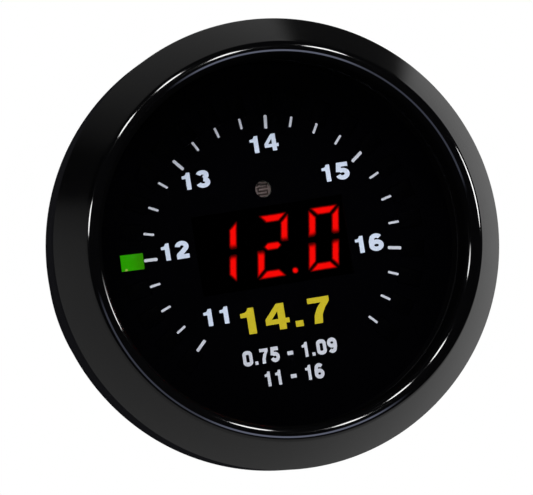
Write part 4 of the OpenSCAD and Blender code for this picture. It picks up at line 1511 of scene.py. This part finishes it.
@dataclass
class Studio:
    """Camera as in the photo, soft world light, a small lamp for each dash on the crest, and a pale floor."""

    dial_h: float = 4.6
    distance: float = 583.0
    toward: Point3 = (-0.180, -0.983, -0.034)
    roll: float = 9.2
    lens: float = 295.1
    sensor: float = 36.0
    clip: Point2 = (0.01, 20.0)
    aim_right: float = -0.84
    aim_up: float = -0.28
    floor_z: float = -60.0
    floor_size: float = 3000.0
    floor_fade: Point2 = (70.0, 300.0)
    floor_tone: Colour = (0.82, 0.82, 0.82)
    crest_r: float = 25.45
    crest_h: float = 13.8
    crest_round: float = 1.2
    lamp_distance: float = 800.0
    lamp_long: float = 16.0
    lamp_radiance: float = 26.0
    ambient: Colour = (0.52, 0.52, 0.52)
    # The room's horizon in front: how it leans, how high it is, and how it bends below a height
    horizon_lean: float = 0.37
    horizon_at: float = 0.15
    bend_from: float = 0.1
    bend: float = 0.85
    behind: Point2 = (0.66, 0.93)
    dark: Colour = (0.010, 0.010, 0.012)
    window_colour: Colour = (2.5, 2.7, 3.7)
    window_ring: Point2 = (22.0, 43.0)
    # Each sector's middle, half its width, and its share of the window's light
    window_sectors: tuple[Point3, ...] = ((267.0, 27.0, 0.65), (240.0, 50.0, 0.35))
    # Each dash's place round the crest, the lean of the crest's normal there, and the lamp's width
    glints: tuple[Point3, ...] = (
        (99.1, 8.5, 3.6), (117.6, 22.5, 7.5), (135.4, 23.0, 7.0), (164.9, 34.0, 11.0), (69.1, 18.5, 8.5),
        (7.2, 32.0, 20.0),
    )
    # Grey levels of the room round the dial's axis
    room: tuple[Point2, ...] = (
        (-180.0, 0.28), (-140.0, 0.34), (-88.0, 0.40), (-57.0, 0.52), (-28.0, 0.65), (9.5, 0.63),
        (35.0, 0.55), (39.0, 0.02), (66.5, 0.02), (70.0, 0.31), (85.0, 0.25), (116.0, 0.15),
        (133.0, 0.05), (139.0, 0.0), (153.0, 0.0), (158.0, 0.14), (168.0, 0.23), (180.0, 0.28),
    )

    def axes(self) -> tuple[Vector, Vector, Vector]:
        """Finds how the photo lies.

        Returns:
            Its right, its up, and the way from the dial to the camera.
        """
        back = Vector(self.toward).normalized()
        right = (-back).cross(Vector((0, 0, 1))).normalized()
        up = right.cross(-back)
        across, rise = polar(self.roll)
        return right * across - up * rise, up * across + right * rise, back

    def eye(self) -> Vector:
        """Returns the camera's place in metres."""
        return facing(0, 0, self.dial_h) + self.axes()[2] * self.distance * MM

    def camera(self) -> None:
        """Places the camera."""
        right, up, _ = self.axes()
        aim = facing(0, 0, self.dial_h) + (right * self.aim_right + up * self.aim_up) * MM
        look = (self.eye() - aim).normalized()
        side = up.cross(look).normalized()
        data = bpy.data.cameras.new("photo_camera")
        data.lens, data.sensor_width = self.lens, self.sensor
        data.clip_start, data.clip_end = self.clip
        camera = stand("photo_camera", data)
        camera.matrix_world = frame_at(side, look.cross(side), look, self.eye())
        bpy.context.scene.camera = camera

    def mirrored(self, around: float, lean: float) -> tuple[Vector, Vector]:
        """Mirrors the camera's line of sight in a point of the crest.

        Args:
            around: The point's angle round the dial's axis, from the right.
            lean: How far the crest's normal leans outwards there.

        Returns:
            The point in metres, and the mirrored direction.
        """
        (across, rise), (front, out) = polar(around), polar(lean)
        normal = Vector((across * out, -front, rise * out))
        ring = Vector((across, 0.0, rise)) * self.crest_r
        point = (ring + normal * self.crest_round) * MM + facing(0, 0, self.crest_h)
        sight = (self.eye() - point).normalized()
        return point, (2 * normal.dot(sight) * normal - sight).normalized()

    def span(self, degrees: float) -> float:
        """Returns the size of a lamp that is seen under an angle, in metres."""
        return 2 * math.tan(math.radians(degrees) / 2) * self.lamp_distance * MM

    def light(self) -> None:
        """Places a small lamp for each dash of light on the crest, long in the crest's section."""
        for number, (around, lean, wide) in enumerate(self.glints):
            point, way = self.mirrored(around, lean)
            _, onward = self.mirrored(around, lean + 1.0)
            along = (onward - way * onward.dot(way)).normalized()
            data = bpy.data.lights.new(f"lamp_{number}", "AREA")
            data.shape = "ELLIPSE"
            data.size, data.size_y = self.span(wide), self.span(self.lamp_long)
            data.energy = self.lamp_radiance * math.pi * math.pi * data.size * data.size_y / 4
            place = point + way * self.lamp_distance * MM
            stand(f"lamp_{number}", data).matrix_world = frame_at(along.cross(way), along, way, place)

    def world(self) -> None:
        """Builds the world: white behind the object, even light on it, and the room that gloss shows."""
        world = bpy.data.worlds.new("studio")
        world.use_nodes = True
        bpy.context.scene.world = world
        kit = NodeKit(world.node_tree)
        way = kit.split(kit.add("TexCoord", out="Generated"))
        dx, dy, dz = way
        ring = kit.node("ValToRGB", inputs={0: dz.arctan2(dx) / TURN + 0.5})
        stops = ring.color_ramp.elements
        stops.remove(stops[-1])
        for number, (angle, level) in enumerate(self.room):
            stop = stops.new((angle + 180) / 360) if number else stops[0]
            stop.position, stop.color = (angle + 180) / 360, (level, level, level, 1.0)
        bend = (0 - dz - self.bend_from).most(0.0) * self.bend
        horizon = dx * self.horizon_lean + self.horizon_at - bend
        shaded = (dy - horizon).ramp(0.06, -0.06).most(dy.ramp(*self.behind))
        dim = kit.mix(shaded, Wire(kit, ring.outputs[0]), self.dark)
        room = kit.mix(self.window(way), dim, self.window_colour)
        soft = kit.mix(kit.ray("Glossy"), self.ambient, room)
        tone = kit.mix(kit.ray("Camera"), soft, WHITE)
        light = kit.add("Background", inputs={"Color": tone, "Strength": 1.0})
        kit.node("OutputWorld", inputs={"Surface": light})

    def window(self, way: tuple[Wire, Wire, Wire]) -> Wire:
        """Draws a bluish window, two sectors of a ring round the lens's mirror direction.

        Args:
            way: The parts of the direction that is looked in.

        Returns:
            The window's share there.
        """
        _, _, back = self.axes()
        mirror = Vector((-back.x, back.y, -back.z))
        near = way[0] * mirror.x + way[1] * mirror.y + way[2] * mirror.z
        inner, outer = self.window_ring
        limits = [polar(angle)[0] for angle in (outer + 2, outer - 2, inner - 2, inner + 2)]
        ring = near.ramp(*limits[:2]) * near.ramp(*limits[2:])
        across, rise = way[0] - mirror.x, way[2] - mirror.z
        length = reach(across, rise)
        share: Value = 0.0
        for middle, half, level in self.window_sectors:
            cosine, sine = polar(middle)
            edge, _ = polar(half)
            side = (across * cosine + rise * sine) / length
            share = side.ramp(edge - 0.06, edge + 0.06) * level + share
        return ring * share

    def floor(self) -> None:
        """Lays the pale floor: it holds the shadow under the object and runs out into white."""
        half, z = self.floor_size / 2 * MM, self.floor_z * MM
        mesh = bpy.data.meshes.new("floor")
        corners = [(-half, -half, z), (half, -half, z), (half, half, z), (-half, half, z)]
        mesh.from_pydata(corners, [], [(0, 1, 2, 3)])
        made = bpy.data.materials.new("floor_pale")
        made.use_nodes = True
        kit = NodeKit(made.node_tree)
        x, y, _ = kit.split(kit.place())
        share = reach(x, y).ramp(*self.floor_fade) * kit.ray("Camera")
        plain = kit.add("BsdfDiffuse", inputs={"Color": self.floor_tone})
        kit.surface_mix(share, plain, kit.add("Emission", inputs={"Color": WHITE}))
        mesh.materials.append(made)
        ground = stand("floor", mesh)
        ground.visible_glossy = False
        ground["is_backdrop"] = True

    def build(self) -> None:
        """Sets up the whole studio."""
        self.camera()
        self.light()
        self.world()
        self.floor()
        bpy.context.scene.view_settings.view_transform = "Standard"


def as_lists(box: object) -> object:
    """Returns a box of any sequence kind as plain lists of numbers."""
    return float(box) if isinstance(box, (int, float)) else [as_lists(part) for part in box]


def main() -> None:
    """Builds and dresses every sub-assembly, then the studio."""
    logging.basicConfig(level=logging.INFO, format="%(name)s: %(message)s")
    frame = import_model()
    cad_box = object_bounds()
    for assembly in (Bezel(), LensStack(), DialPrint(), Digits(), Housing(), Studs()):
        assembly.build()
    for refit in REFITS:
        refit.build(frame["nodes"])
    Studio().build()
    {"cad": as_lists(cad_box), "visual": as_lists(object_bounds())}


if __name__ == "__main__":
    main()
